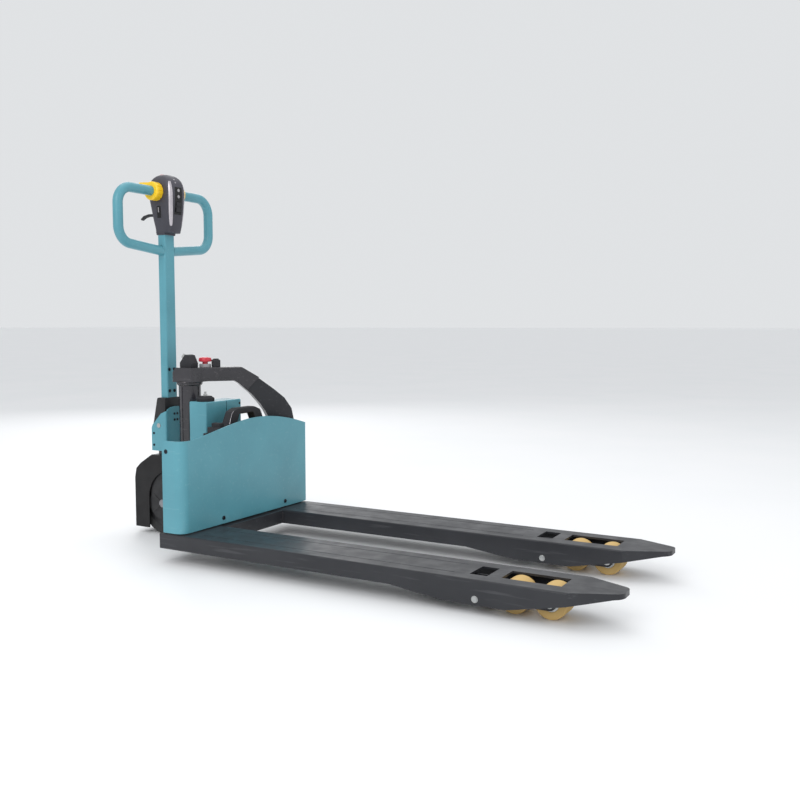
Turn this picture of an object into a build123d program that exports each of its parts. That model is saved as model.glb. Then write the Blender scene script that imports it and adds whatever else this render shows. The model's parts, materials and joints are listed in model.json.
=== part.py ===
from build123d import *
import os
from math import asin, cos, degrees, radians, sin, sqrt

# Walk-behind electric pallet truck: fork frame, carriage, steered drive wheel, tiller and load wheels.
#
# Axes: +X towards the fork tips, +Y towards the far side, +Z up. Floor at Z = 0. Millimetres.

# ---------------------------------------------------------------- overall sizes
FORK_LENGTH = 1150.0        # cover face to fork tips
OVERALL_WIDTH = 560.0       # outside to outside of the forks
FORK_WIDTH = 150.0
FORK_TOP = 78.0             # lowered height of the fork tops
LIFT = 105.0
REAR_REACH = 405.0          # cover face to the rearmost point, the wheel guard
SHEET = 5.0                 # fork plate
CLEAR = 0.05                # radial running clearance of a shaft in a bore
GAP = 1.0                   # side clearance between pieces that move past each other

# X of the cover's load face, so that the whole truck is centred on X = 0
COVER_X = (REAR_REACH - FORK_LENGTH) / 2
TIP_X = COVER_X + FORK_LENGTH
REAR_X = COVER_X - REAR_REACH

# ---------------------------------------------------------------- forks
HEEL_X = COVER_X - 81.0
HEEL_STEP = 1.0             # how far the heel is set down under the cover
HEEL_TOP = FORK_TOP - HEEL_STEP
HEEL_EDGE_X = COVER_X + 2.0
SKIRT_DROP = 40.0           # fork top to skirt edge along the thin part
DEEP_DROP = 57.0            # fork top to skirt edge over the load wheel arms
FORK_Y = (OVERALL_WIDTH - FORK_WIDTH) / 2
INNER_HALF = FORK_WIDTH / 2 - SHEET
NOSE_TAPER = 108.0
NOSE_HALF = 26.0

# ---------------------------------------------------------------- load wheels and linkage
ROLLER_R = 37.0
ROLLER_WIDTH = 60.0
ROLLER_PITCH = 85.0
ROLLER_AXLE_R = 10.0
TIP_TO_BOGIE = 199.5
BOGIE_X = TIP_X - TIP_TO_BOGIE
ARM_LENGTH = 114.5
ARM_PIN_R = 8.0
ARM_PIN_Z = 34.0
ARM_RISE = ROLLER_R - ARM_PIN_Z
# turn of the load wheel arms over the full lift
ARM_SWING = degrees(asin((LIFT - ARM_RISE) / ARM_LENGTH) + asin(ARM_RISE / ARM_LENGTH))
ARM_X = BOGIE_X - sqrt(ARM_LENGTH ** 2 - ARM_RISE ** 2)
BOGIE_PIN_R = 8.0
BOGIE_PLATE = 6.0
ARM_PLATE = 7.0
LEVER_LENGTH = 28.0
LEVER_PIN_R = 4.0
ROD_TRAVEL = 2 * LEVER_LENGTH * sin(radians(ARM_SWING / 2))
ROD_WIDTH = 16.0
EAR = 4.0
SLOT_SLACK = 0.9
EAR_TOP_WALL = 1.3
EAR_BASE_WALL = 4.0

SHAFT_X = COVER_X - 50.0
SHAFT_R = 13.0
SHAFT_Z = FORK_TOP + SHAFT_R + 1.0
SHAFT_HALF = FORK_Y + 20.0
ROCKER_SWING = 60.0
ROCKER_LEVER = ROD_TRAVEL / (2 * sin(radians(ROCKER_SWING / 2)))
CRANK_LENGTH = 107.0
CRANK_RISE = 20.0           # degrees above level at rest
CRANK_Y = 60.0
CRANK_ROLLER_R = 7.0
CRANK_ROLLER_IN = 30.0      # truck's centreline to the inner end of a crank roller
CRANK_HALF = 5.0            # half thickness of a crank plate
PAD_PLAY = 0.4              # crank roller to the pad above it at rest

# ---------------------------------------------------------------- cover and crossbeam
COVER_SHEET = 4.0
COVER_BASE = FORK_TOP + 3.0
COVER_SHOULDER = 325.0
COVER_CROWN = 363.0
COVER_BEND_R = 27.0
COVER_SIDE = 68.0           # depth of the side returns
CROWN_START_Y = -237.0
BEAM_REAR_X = COVER_X - 30.0
BEAM_FRONT_X = COVER_X + 18.0
BEAM_DROP = 40.0

# ---------------------------------------------------------------- steering, drive wheel and carriage
STEER_X = COVER_X - 302.0
POST_X = COVER_X - 220.0
WHEEL_R = 95.0
WHEEL_WIDTH = 60.0
HUB_R = 70.0
STATOR_R = 57.0
AXLE_R = 12.0
SPINDLE_R = 14.0
GUARD_HALF = WHEEL_WIDTH / 2 + 15.0
GUARD_WALL = 3.0
GUARD_TOP = 241.0
GUARD_BASE = 18.0
CHEEK = 7.5
PLATE_BASE = 243.0
PLATE_THICK = 9.0
PLATE_TOP = PLATE_BASE + PLATE_THICK
POST_BASE = PLATE_TOP + 4.0
HEAD_BASE = 461.0
HEAD_TOP = 503.0
BARREL_R = 22.0
POST_BORE_R = BARREL_R + 4.0
POST_R = POST_BORE_R + 6.0
RAM_R = 12.5
BARREL_TOP = 430.0
PUMP_REAR_X = COVER_X - 170.0
PUMP_FRONT_X = COVER_X - 106.0
PUMP_NEAR_Y = -60.0
PUMP_FAR_Y = 95.0
PUMP_TOP = 408.0
PUMP_WALL = 3.0
TANK_X = (PUMP_REAR_X + PUMP_FRONT_X) / 2
TANK_Y = -26.0
NECK_R = 14.0               # filler neck of the oil tank

# ---------------------------------------------------------------- tiller
BRACKET_HALF = 42.0
BRACKET_WALL = 3.0
SCREW_R = 1.8
BRACKET_BASE = PLATE_TOP + 2.0
BRACKET_FRONT = 25.0        # steering axis to the bracket's front face
TILT_X = STEER_X - 4.0
TILT_Z = 330.0
TILT_PIN_R = 7.0
KNUCKLE_HALF = BRACKET_HALF - 8.0
TUBE_DEPTH = 28.0
TUBE_WIDTH = 42.0
TUBE_WALL = 3.0
TUBE_BASE = 412.0
TUBE_TOP = 915.0
BAR_R = 14.0
BAR_WALL = 2.5
HANDLE_HALF = 187.0         # steering axis to the centre of a side grip
BAR_TOP_Z = 1015.0
BAR_LOW_Z = 868.0
BAR_JOIN_Z = 845.0
POD_X = STEER_X + 6.0
POD_BASE = 897.0
POD_TOP = 1066.0
# Height above the pod's base, reach to the rear, reach to the front, half width, corner radius.
POD_STATIONS = ((0.0, 27.0, 33.0, 25.0, 10.0), (34.0, 31.0, 40.0, 29.0, 12.0),
                (78.0, 39.0, 44.0, 33.0, 14.0), (118.0, 47.0, 46.0, 35.0, 16.0),
                (148.0, 42.0, 39.0, 32.0, 16.0), (163.0, 29.0, 26.0, 24.0, 14.0),
                (169.0, 18.0, 12.0, 14.0, 10.0))
POD_WALL = 2.5
POD_SPLIT_X = POD_X + 6.0
KNOB_R = 27.0
KNOB_BORE_R = BAR_R + 0.08
KNOB_IN_Y = 36.0
KNOB_OUT_Y = 60.0

# ---------------------------------------------------------------- controls
BUTTON_R = 4.6
BUTTON_Z = (1019.0, 1001.0)
BUTTON_CLEAR = 0.3
ROCKER_Z = 971.0
ROCKER_HALF_Y = 8.0
ROCKER_HALF_Z = 15.0
ROCKER_PROUD = 3.5          # rocker's face ahead of the pod's front at its pivot
ROCKER_PIN_R = 1.5
ROCKER_PIN_OUT = 0.3
ROCKER_PIN_IN = 4.0         # pod face to the pivot of the rocker
BELLY_R = 13.0
BELLY_X = POD_X - 11.0
LEVER_Y = -12.0
LEVER_Z = 950.0
ESTOP_T = 46.0              # distance from the post's axis along the gooseneck
ESTOP_COLLAR = 10.0
ESTOP_TRAVEL = 5.0
ESTOP_STEM_R = 8.0
SOCKET_T = 78.0
KEY_R = 5.0
KEY_LEAN = 50.0             # degrees the key's axis leans to the rear

# ---------------------------------------------------------------- gooseneck
ARCH_ANGLE = 51.0           # plan angle of the gooseneck from +X towards +Y
ARCH_HALF = 20.0
FOOT_TOP = SHAFT_Z + 28.0

# ---------------------------------------------------------------- battery
BATTERY_REAR_X = COVER_X - 95.0
BATTERY_FRONT_X = COVER_X - 16.0
BATTERY_NEAR_Y = -90.0
BATTERY_FAR_Y = 128.0
TRAY_BASE = SHAFT_Z + 33.0
TRAY_THICK = 4.0
BATTERY_TOP = 345.0
BATTERY_HANDLE_TOP = 390.0

SIDES = {"near": -1, "far": 1}


# ---------------------------------------------------------------- shape helpers
def block(x0, x1, y0, y1, z0, z1):
    """Box between two corners."""
    return Pos((x0 + x1) / 2, (y0 + y1) / 2, (z0 + z1) / 2) * Box(abs(x1 - x0), abs(y1 - y0), abs(z1 - z0))


def bar_x(radius, x0, x1, y, z):
    """Round bar along X."""
    return Pos((x0 + x1) / 2, y, z) * Rot(0, 90, 0) * Cylinder(radius, abs(x1 - x0))


def bar_y(radius, y0, y1, x, z):
    """Round bar along Y."""
    return Pos(x, (y0 + y1) / 2, z) * Rot(90, 0, 0) * Cylinder(radius, abs(y1 - y0))


def bar_z(radius, z0, z1, x, y):
    """Round bar along Z."""
    return Pos(x, y, (z0 + z1) / 2) * Cylinder(radius, abs(z1 - z0))


def side_profile(points, y0, y1, radius=0.0):
    """Solid from an outline in X and Z, between two Y values."""
    outline = make_face(Polyline(*points, close=True))
    if radius:
        outline = fillet(outline.vertices(), radius)
    return Pos(0, max(y0, y1), 0) * extrude(Plane.XZ * outline, amount=abs(y1 - y0))


def plan_profile(points, z0, z1, radius=0.0):
    """Solid from an outline in X and Y, between two heights."""
    outline = make_face(Polyline(*points, close=True))
    if radius:
        outline = fillet(outline.vertices(), radius)
    return Pos(0, 0, z0) * extrude(outline, amount=z1 - z0)


def front_profile(points, x0, x1, radius=0.0):
    """Solid from an outline in Y and Z, between two X values."""
    outline = make_face(Polyline(*points, close=True))
    if radius:
        outline = fillet(outline.vertices(), radius)
    return Pos(x0, 0, 0) * extrude(Plane.YZ * outline, amount=x1 - x0)


def link_plate(x0, z0, r0, x1, z1, r1, y0, y1):
    """Flat link with a round end at each of two centres."""
    length = sqrt((x1 - x0) ** 2 + (z1 - z0) ** 2)
    ux, uz = (x1 - x0) / length, (z1 - z0) / length
    corners = [(x0 - uz * r0, z0 + ux * r0), (x1 - uz * r1, z1 + ux * r1),
               (x1 + uz * r1, z1 - ux * r1), (x0 + uz * r0, z0 - ux * r0)]
    web = side_profile(corners, y0, y1)
    return web + bar_y(r0, y0, y1, x0, z0) + bar_y(r1, y0, y1, x1, z1)


def edges_along(solid, axis):
    """Straight edges of a solid that run along one axis."""
    return solid.edges().filter_by(axis)


# ---------------------------------------------------------------- fork frame
def fork_plan(inset, tip_inset):
    """Plan outline of a fork about its own centreline, drawn in by a wall."""
    half = FORK_WIDTH / 2 - inset
    nose = NOSE_HALF - inset * 0.6
    taper_x = TIP_X - NOSE_TAPER
    return [(HEEL_X + inset, -half), (taper_x, -half), (TIP_X - tip_inset, -nose),
            (TIP_X - tip_inset, nose), (taper_x, half), (HEEL_X + inset, half)]


def fork_skirt(y0, y1):
    """Side outline of a fork: thin shank, deep wheel section and rising nose."""
    low = FORK_TOP - SKIRT_DROP
    deep = FORK_TOP - DEEP_DROP
    points = [(HEEL_X, FORK_TOP), (HEEL_X, low), (BOGIE_X - 330, low), (BOGIE_X - 195, deep),
              (BOGIE_X - 43, deep), (BOGIE_X + 97, FORK_TOP - 29), (TIP_X - 20, FORK_TOP - 13),
              (TIP_X, FORK_TOP - 11), (TIP_X, FORK_TOP)]
    return side_profile(points, y0, y1)


def fork(side):
    """Fork channel, open below, with its wheel window and linkage openings."""
    y = SIDES[side] * FORK_Y
    top = FORK_TOP
    shell = plan_profile(fork_plan(0, 0), 0, top)
    nose_edges = edges_along(shell, Axis.Z).sort_by(Axis.X)[-2:]
    shell = fillet(nose_edges, NOSE_HALF - 4)
    top_rim = shell.faces().sort_by(Axis.Z)[-1].edges().filter_by(Axis.X)
    shell = fillet(top_rim, 4.0)
    cavity_plan = fork_plan(SHEET, 62.0)
    cavity_plan[2] = (TIP_X - 62.0, -NOSE_HALF - 14)
    cavity_plan[3] = (TIP_X - 62.0, NOSE_HALF + 14)
    shell -= plan_profile(cavity_plan, -1, top - SHEET)
    window_half = ROLLER_WIDTH / 2 + 3
    shell -= block(BOGIE_X - 70, BOGIE_X + 68, -window_half, window_half, 0, top + 1)
    shell -= block(ARM_X - 30, ARM_X + 12, -36, 36, top - SHEET - 1, top + 1)
    sweep = ROCKER_LEVER * sin(radians(ROCKER_SWING / 2)) + 11
    shell -= block(SHAFT_X - sweep, SHAFT_X + sweep, -12, 12, top - SHEET - 1, top + 1)
    shell -= block(HEEL_X - 1, HEEL_EDGE_X, -FORK_WIDTH, FORK_WIDTH, HEEL_TOP, top + 1)
    shell = Pos(0, y, 0) * shell
    shell = shell & fork_skirt(y - FORK_WIDTH / 2, y + FORK_WIDTH / 2)
    return shell - bar_y(ARM_PIN_R, y - FORK_WIDTH, y + FORK_WIDTH, ARM_X, ARM_PIN_Z)


def crossbeam():
    """Beam between the fork heels, with lugs for the rocker shaft."""
    y = FORK_Y - FORK_WIDTH / 2
    low = FORK_TOP - BEAM_DROP
    beam = block(BEAM_REAR_X, BEAM_FRONT_X, -y, y, low, FORK_TOP - 2)
    cavity = block(BEAM_REAR_X + 6, BEAM_FRONT_X - 6, -y + 6, y - 6, low - 1, FORK_TOP - 8)
    for lug_y in (-105, 105):
        lug = link_plate(SHAFT_X, SHAFT_Z, SHAFT_R + 9, BEAM_REAR_X + 4, FORK_TOP - 18, 14,
                         lug_y - 5, lug_y + 5)
        beam += lug
    beam -= cavity
    return beam - bar_y(SHAFT_R + CLEAR, -y, y, SHAFT_X, SHAFT_Z)


def cover_top_cut():
    """Solid above the cover's arched top edge."""
    half_y = OVERALL_WIDTH / 2
    mid_y = (CROWN_START_Y + half_y) / 2
    high = COVER_CROWN + 60
    edge = Polyline((-half_y - 5, COVER_SHOULDER), (CROWN_START_Y, COVER_SHOULDER))
    crown = Spline((CROWN_START_Y, COVER_SHOULDER), (mid_y, COVER_CROWN), (half_y + 0.1, COVER_SHOULDER),
                   tangents=[(1, 0.14), (1, -0.30)])
    rest = Polyline((half_y + 0.1, COVER_SHOULDER), (half_y + 5, COVER_SHOULDER), (half_y + 5, high),
                    (-half_y - 5, high), (-half_y - 5, COVER_SHOULDER))
    outline = make_face(Curve() + [edge, crown, rest])
    return Pos(COVER_X - COVER_SIDE - 5, 0, 0) * extrude(Plane.YZ * outline, amount=COVER_SIDE + 10)


def front_cover():
    """Bent sheet cover: arched load face and a short return on each side."""
    half = OVERALL_WIDTH / 2 - 1
    rear = COVER_X - COVER_SIDE
    outer = block(rear, COVER_X, -half, half, COVER_BASE, COVER_CROWN + 10)
    near_bend = edges_along(outer, Axis.Z).sort_by(Axis.X)[-2:].sort_by(Axis.Y)
    outer = fillet(near_bend[0], COVER_BEND_R)
    far_bend = edges_along(outer, Axis.Z).sort_by(Axis.Y)[-2:].sort_by(Axis.X)[-1]
    outer = fillet(far_bend, COVER_SHEET + 2)
    inner = block(rear - 1, COVER_X - COVER_SHEET, -half + COVER_SHEET, half - COVER_SHEET,
                  COVER_BASE - 1, COVER_CROWN + 11)
    inner_bend = edges_along(inner, Axis.Z).sort_by(Axis.X)[-2:].sort_by(Axis.Y)
    inner = fillet(inner_bend[0], COVER_BEND_R - COVER_SHEET)
    cover = outer - inner - cover_top_cut()
    for y in (-half, half):
        corner = block(rear - 1, rear + 12, y - 9, y + 9, COVER_SHOULDER - 12, COVER_SHOULDER + 1)
        cover -= corner - bar_y(12, y - 10, y + 10, rear + 12, COVER_SHOULDER - 12)
    cover -= bar_y(3, -half - 1, half + 1, rear + 14, COVER_SHOULDER - 28)
    for y in (-116, 167):
        cover -= bar_x(3, COVER_X - 6, COVER_X + 1, y, COVER_BASE + 16)
    return cover


def dome_screw(radius, head, shank_r, shank):
    """Button head screw along +Z, seated at Z = 0."""
    dome = Pos(0, 0, head / 2) * Cylinder(radius, head)
    dome = fillet(dome.faces().sort_by(Axis.Z)[-1].edges(), head * 0.7)
    dome -= Pos(0, 0, head) * extrude(RegularPolygon(radius * 0.45, 6), amount=-head * 0.6)
    return dome + Pos(0, 0, -shank / 2) * Cylinder(shank_r, shank)


def cover_screws():
    """Button head screws of the front cover."""
    half = OVERALL_WIDTH / 2 - 1
    screw = dome_screw(6.0, 2.4, 3.0, COVER_SHEET + 3)
    sunk = dome_screw(6.0, 1.0, 3.0, COVER_SHEET + 3)
    solids = [Pos(COVER_X, y, COVER_BASE + 16) * Rot(0, 90, 0) * screw for y in (-116, 167)]
    for side, turn in ((-1, 90), (1, -90)):
        place = Pos(COVER_X - COVER_SIDE + 14, side * half, COVER_SHOULDER - 28)
        solids.append(place * Rot(turn, 0, 0) * sunk)
    return Compound(solids)


def arch_point(t, z, offset=0.0):
    """Place a point of the gooseneck's own plane in the truck's frame."""
    a = radians(ARCH_ANGLE)
    return (POST_X + t * cos(a) + offset * sin(a), t * sin(a) - offset * cos(a), z)


def arch_solid(points, half, radius=0.0):
    """Solid from an outline in the gooseneck's plane, as thick as twice half."""
    outline = make_face(Polyline(*points, close=True))
    if radius:
        outline = fillet(outline.vertices(), radius)
    solid = Pos(0, half, 0) * extrude(Plane.XZ * outline, amount=2 * half)
    return Pos(POST_X, 0, 0) * Rot(0, 0, ARCH_ANGLE) * solid


def gooseneck_leg():
    """Lower box leg of the gooseneck, down to a foot on the far fork."""
    upper = [(118, HEAD_TOP - 4), (150, HEAD_TOP - 4), (200, 470), (250, 433), (281, 407), (303, 374),
             (311, 335)]
    lower = [(240, 300), (236, 338), (221, 369), (204, 393), (180, 421), (130, HEAD_BASE + 3),
             (118, HEAD_BASE + 3)]
    leg = arch_solid(upper + [(311, FOOT_TOP), (240, FOOT_TOP)] + lower, ARCH_HALF)
    leg = chamfer(leg.edges().filter_by(GeomType.LINE).filter_by(Axis.Z).sort_by(Axis.X)[:2], 2.0)
    foot = block(COVER_X - 92, COVER_X - 8, 165, 262, FOOT_TOP - 8, FOOT_TOP)
    wall = block(COVER_X - 22, COVER_X - 8, 165, 262, HEEL_TOP, FOOT_TOP - 8)
    return leg + foot + wall


def gooseneck_head():
    """Head box over the post and the upper box arm that sleeves the leg."""
    half = ARCH_HALF + 4
    arm = arch_solid([(20, HEAD_BASE + 1), (128, HEAD_BASE + 1), (168, 436), (203, 471), (150, HEAD_TOP),
                      (20, HEAD_TOP)], half)
    arm = fillet(arm.edges().filter_by(GeomType.LINE).sort_by(Axis.Z)[-4:], 5.0)
    box = side_profile([(POST_X - 38, HEAD_BASE), (POST_X - 38, HEAD_TOP - 18), (POST_X - 22, HEAD_TOP),
                        (POST_X + 40, HEAD_TOP), (POST_X + 40, HEAD_BASE)], -36, 36)
    box = fillet(edges_along(box, Axis.Z), 8.0)
    head = arm + box
    slot = arch_solid([(117.5, HEAD_BASE + 3), (130, HEAD_BASE + 3), (180, 421), (215, 400), (215, 480),
                       (200, 470), (150, HEAD_TOP - 4), (117.5, HEAD_TOP - 4)], ARCH_HALF)
    return head - slot


def guide_post():
    """Round column with four lengthwise grooves and a flange under the head."""
    post = bar_z(POST_R, POST_BASE, HEAD_BASE, POST_X, 0)
    post += bar_z(POST_R + 5, HEAD_BASE - 8, HEAD_BASE, POST_X, 0)
    for turn in range(4):
        groove = block(POST_R - 2, POST_R + 2, -2, 2, 0, HEAD_BASE - 14)
        post -= Pos(POST_X, 0, 0) * Rot(0, 0, 90 * turn) * groove
    return post - bar_z(POST_BORE_R, POST_BASE - 1, HEAD_BASE + 1, POST_X, 0)


def lift_ram():
    """Chromed ram fixed under the head, sliding in the cylinder."""
    return bar_z(RAM_R, PLATE_TOP + 12, HEAD_BASE, POST_X, 0)


def battery_tray():
    """Sheet tray that carries the battery over the rocker shaft."""
    tray = block(BATTERY_REAR_X - 3, BATTERY_FRONT_X + 3, BATTERY_NEAR_Y - 3, BATTERY_FAR_Y + 3,
                 TRAY_BASE, TRAY_BASE + 24)
    tray -= block(BATTERY_REAR_X, BATTERY_FRONT_X, BATTERY_NEAR_Y, BATTERY_FAR_Y,
                  TRAY_BASE + TRAY_THICK, TRAY_BASE + 30)
    for y in (-80, 118):
        tray += block(BATTERY_FRONT_X - 9, BATTERY_FRONT_X + 3, y - 8, y + 8, FORK_TOP - 2, TRAY_BASE)
    return tray


def battery_case():
    """Removable battery box with a stepped top."""
    case = block(BATTERY_REAR_X, BATTERY_FRONT_X, BATTERY_NEAR_Y, BATTERY_FAR_Y,
                 TRAY_BASE + TRAY_THICK, BATTERY_TOP)
    case -= block(BATTERY_REAR_X - 1, BATTERY_FRONT_X + 1, BATTERY_NEAR_Y - 1, BATTERY_NEAR_Y + 40,
                  BATTERY_TOP - 22, BATTERY_TOP + 1)
    case = fillet(edges_along(case, Axis.Z), 6.0)
    return fillet(case.faces().sort_by(Axis.Z)[-1].edges(), 4.0)


def battery_handle():
    """Arched carry handle along the battery's top."""
    mid = (BATTERY_FRONT_X + BATTERY_REAR_X) / 2
    y0, y1 = BATTERY_NEAR_Y + 52, BATTERY_FAR_Y - 6
    top = BATTERY_HANDLE_TOP
    outer = [(y0, BATTERY_TOP), (y0 + 18, top - 10), (y0 + 44, top), (y1 - 44, top), (y1 - 18, top - 10),
             (y1, BATTERY_TOP)]
    inner = [(y0 + 34, BATTERY_TOP - 1), (y0 + 48, top - 18),
             (y1 - 48, top - 18), (y1 - 34, BATTERY_TOP - 1)]
    loop = front_profile(outer, mid - 13, mid + 13) - front_profile(inner, mid - 14, mid + 14)
    return fillet(edges_along(loop, Axis.Y), 4.0)


def battery_plug():
    """Plug and socket body beside the battery's near end."""
    mid = (BATTERY_FRONT_X + BATTERY_REAR_X) / 2
    y = BATTERY_NEAR_Y
    base = block(mid - 26, mid + 26, y + 4, y + 36, BATTERY_TOP - 22, BATTERY_TOP - 4)
    grip = block(mid - 16, mid + 16, y + 10, y + 30, BATTERY_TOP - 4, BATTERY_TOP + 8)
    return fillet(edges_along(base, Axis.Z), 3.0) + fillet(edges_along(grip, Axis.Z), 4.0)


def head_frame(t, offset=0.0):
    """Location on the head's top, along the gooseneck."""
    x, y, z = arch_point(t, HEAD_TOP, offset)
    return Pos(x, y, z) * Rot(0, 0, ARCH_ANGLE)


def switch_body():
    """Angled key switch body on the head."""
    body = side_profile([(-24, 0), (20, 0), (20, 12), (8, 36), (-4, 38), (-24, 14)], -15, 15, 2.0)
    bore = Pos(-14, 0, 26) * Rot(0, -KEY_LEAN, 0) * Cylinder(KEY_R, 16)
    return Pos(POST_X + 2, -2, HEAD_TOP) * (body - bore)


def ignition_key():
    """Key barrel and bow in the angled switch face."""
    barrel = Pos(0, 0, -1.5) * Cylinder(KEY_R - CLEAR, 8)
    bow = Pos(0, 0, 9) * Box(16, 2.4, 13)
    bow = fillet(edges_along(bow, Axis.Y), 4.0)
    return Pos(POST_X - 12, -2, HEAD_TOP + 26) * Rot(0, -KEY_LEAN, 0) * (barrel + bow)


def estop_base():
    """Round collar of the emergency stop."""
    ring = Pos(0, 0, ESTOP_COLLAR / 2) * Cylinder(17, ESTOP_COLLAR)
    ring = fillet(ring.faces().sort_by(Axis.Z)[-1].edges(), 2.0)
    ring -= Pos(0, 0, ESTOP_COLLAR / 2 + 2) * Cylinder(ESTOP_STEM_R, ESTOP_COLLAR)
    return head_frame(ESTOP_T) * ring


def estop_button():
    """Red mushroom button, pressed down to stop the truck."""
    low = ESTOP_COLLAR + ESTOP_TRAVEL + 1
    stem = Pos(0, 0, (low + 8) / 2) * Cylinder(ESTOP_STEM_R - CLEAR, low - 8)
    cap = Pos(0, 0, low + 7) * Cylinder(19, 14)
    cap = fillet(cap.faces().sort_by(Axis.Z)[-1].edges(), 4.0)
    cap = fillet(cap.faces().sort_by(Axis.Z)[0].edges(), 2.0)
    return head_frame(ESTOP_T) * (stem + cap)


def charge_socket():
    """Charging socket block beside the emergency stop."""
    body = Pos(0, 0, 11) * Box(22, 30, 22)
    body = fillet(edges_along(body, Axis.Z), 3.0)
    body = fillet(body.faces().sort_by(Axis.Z)[-1].edges(), 3.0)
    return head_frame(SOCKET_T) * body


def arm_pins():
    """Pivot pins of the load wheel arms, through both skirts of each fork."""
    pins = []
    for sign in SIDES.values():
        y = sign * FORK_Y
        half = FORK_WIDTH / 2
        pin = bar_y(ARM_PIN_R, y - half, y + half, ARM_X, ARM_PIN_Z)
        for end in (-1, 1):
            head = bar_y(ARM_PIN_R - 1.5, y + end * half, y + end * (half + 1.5), ARM_X, ARM_PIN_Z)
            pin += head
        pins.append(pin)
    return Compound([solid for pin in pins for solid in pin.solids()])


# ---------------------------------------------------------------- carriage
def carriage_plate():
    """Plate that joins steering bearing, cylinder and pump, with the pad the cranks bear on."""
    x0 = STEER_X
    plate = bar_z(34, PLATE_BASE, PLATE_TOP, x0, 0) + block(x0, PUMP_FRONT_X, -34, 34, PLATE_BASE, PLATE_TOP)
    plate -= bar_z(SPINDLE_R + 4, PLATE_BASE - 1, PLATE_TOP + 1, x0, 0)
    pad_base = SHAFT_Z + CRANK_LENGTH * sin(radians(CRANK_RISE)) + CRANK_ROLLER_R + PAD_PLAY
    pad_half = CRANK_Y - CRANK_HALF - GAP
    web_x0, web_x1 = PUMP_REAR_X - 9, PUMP_REAR_X - 3
    web = block(web_x0, web_x1, -34, 34, pad_base, PLATE_TOP)
    pad = block(web_x0, PUMP_FRONT_X, -pad_half, pad_half, pad_base, pad_base + 6)
    return fillet(edges_along(plate, Axis.Z).sort_by(Axis.X)[-2:], 6.0) + web + pad


def steer_bearing():
    """Bearing ring between carriage plate and spindle."""
    ring = bar_z(SPINDLE_R + 4, PLATE_BASE, PLATE_TOP, STEER_X, 0)
    return ring - bar_z(SPINDLE_R + CLEAR, PLATE_BASE - 1, PLATE_TOP + 1, STEER_X, 0)


def lift_cylinder():
    """Cylinder barrel standing on the carriage inside the guide post."""
    barrel = bar_z(BARREL_R, PLATE_TOP, BARREL_TOP, POST_X, 0)
    return barrel - bar_z(RAM_R + CLEAR, PLATE_TOP + 8, BARREL_TOP + 1, POST_X, 0)


def pump_cover():
    """Folded cover box over the pump, open below and at the back."""
    box = block(PUMP_REAR_X, PUMP_FRONT_X, PUMP_NEAR_Y, PUMP_FAR_Y, PLATE_TOP, PUMP_TOP)
    box = fillet(edges_along(box, Axis.Z), 4.0)
    box = fillet(box.faces().sort_by(Axis.Z)[-1].edges(), 3.0)
    box -= block(PUMP_REAR_X + PUMP_WALL, PUMP_FRONT_X - PUMP_WALL, PUMP_NEAR_Y + PUMP_WALL,
                 PUMP_FAR_Y - PUMP_WALL, PLATE_TOP - 1, PUMP_TOP - PUMP_WALL)
    return box - bar_z(NECK_R, PUMP_TOP - 10, PUMP_TOP + 1, TANK_X, TANK_Y)


def oil_tank():
    """Oil tank with its filler neck through the pump cover."""
    tank = block(PUMP_REAR_X + 6, PUMP_FRONT_X - 6, PUMP_NEAR_Y + 6, 12, PLATE_TOP + 46, PUMP_TOP - 6)
    tank = fillet(tank.edges(), 5.0)
    tank += bar_z(NECK_R, PUMP_TOP - 8, PUMP_TOP, TANK_X, TANK_Y)
    tank += bar_z(19, PLATE_TOP, PLATE_TOP + 48, TANK_X, TANK_Y)
    return tank


def pump_motor():
    """Pump motor with its terminal studs and gear pump block."""
    y = (PUMP_FAR_Y + 14) / 2
    motor = bar_z(27, PLATE_TOP + 34, PUMP_TOP - 18, TANK_X, y)
    motor = fillet(motor.faces().sort_by(Axis.Z)[-1].edges(), 4.0)
    pump = block(TANK_X - 25, TANK_X + 25, y - 28, y + 28, PLATE_TOP, PLATE_TOP + 34)
    studs = [bar_z(3, PUMP_TOP - 18, PUMP_TOP - 8, TANK_X, y + dy) for dy in (-14, 14)]
    return motor + pump + studs[0] + studs[1]


def tank_cap():
    """Low round cap over the filler neck, with its breather fitting."""
    cap = bar_z(26, PUMP_TOP, PUMP_TOP + 12, TANK_X, TANK_Y)
    cap = fillet(cap.faces().sort_by(Axis.Z)[-1].edges(), 3.0)
    base = PUMP_TOP + 15
    cap += bar_z(20, PUMP_TOP + 11, base, TANK_X, TANK_Y)
    hexagon = Pos(TANK_X, TANK_Y, base) * extrude(RegularPolygon(6, 6), amount=6)
    breather = hexagon + bar_z(3.5, base + 6, base + 13, TANK_X, TANK_Y)
    return Compound([cap.solids()[0], breather.solids()[0]])


# ---------------------------------------------------------------- steered drive unit
def steer_spindle():
    """Spindle from the yoke up through the carriage bearing into the tiller bracket."""
    spindle = bar_z(SPINDLE_R, GUARD_TOP - 16, BRACKET_BASE + 26, STEER_X, 0)
    return chamfer(spindle.faces().sort_by(Axis.Z)[-1].edges(), 2.0)


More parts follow.
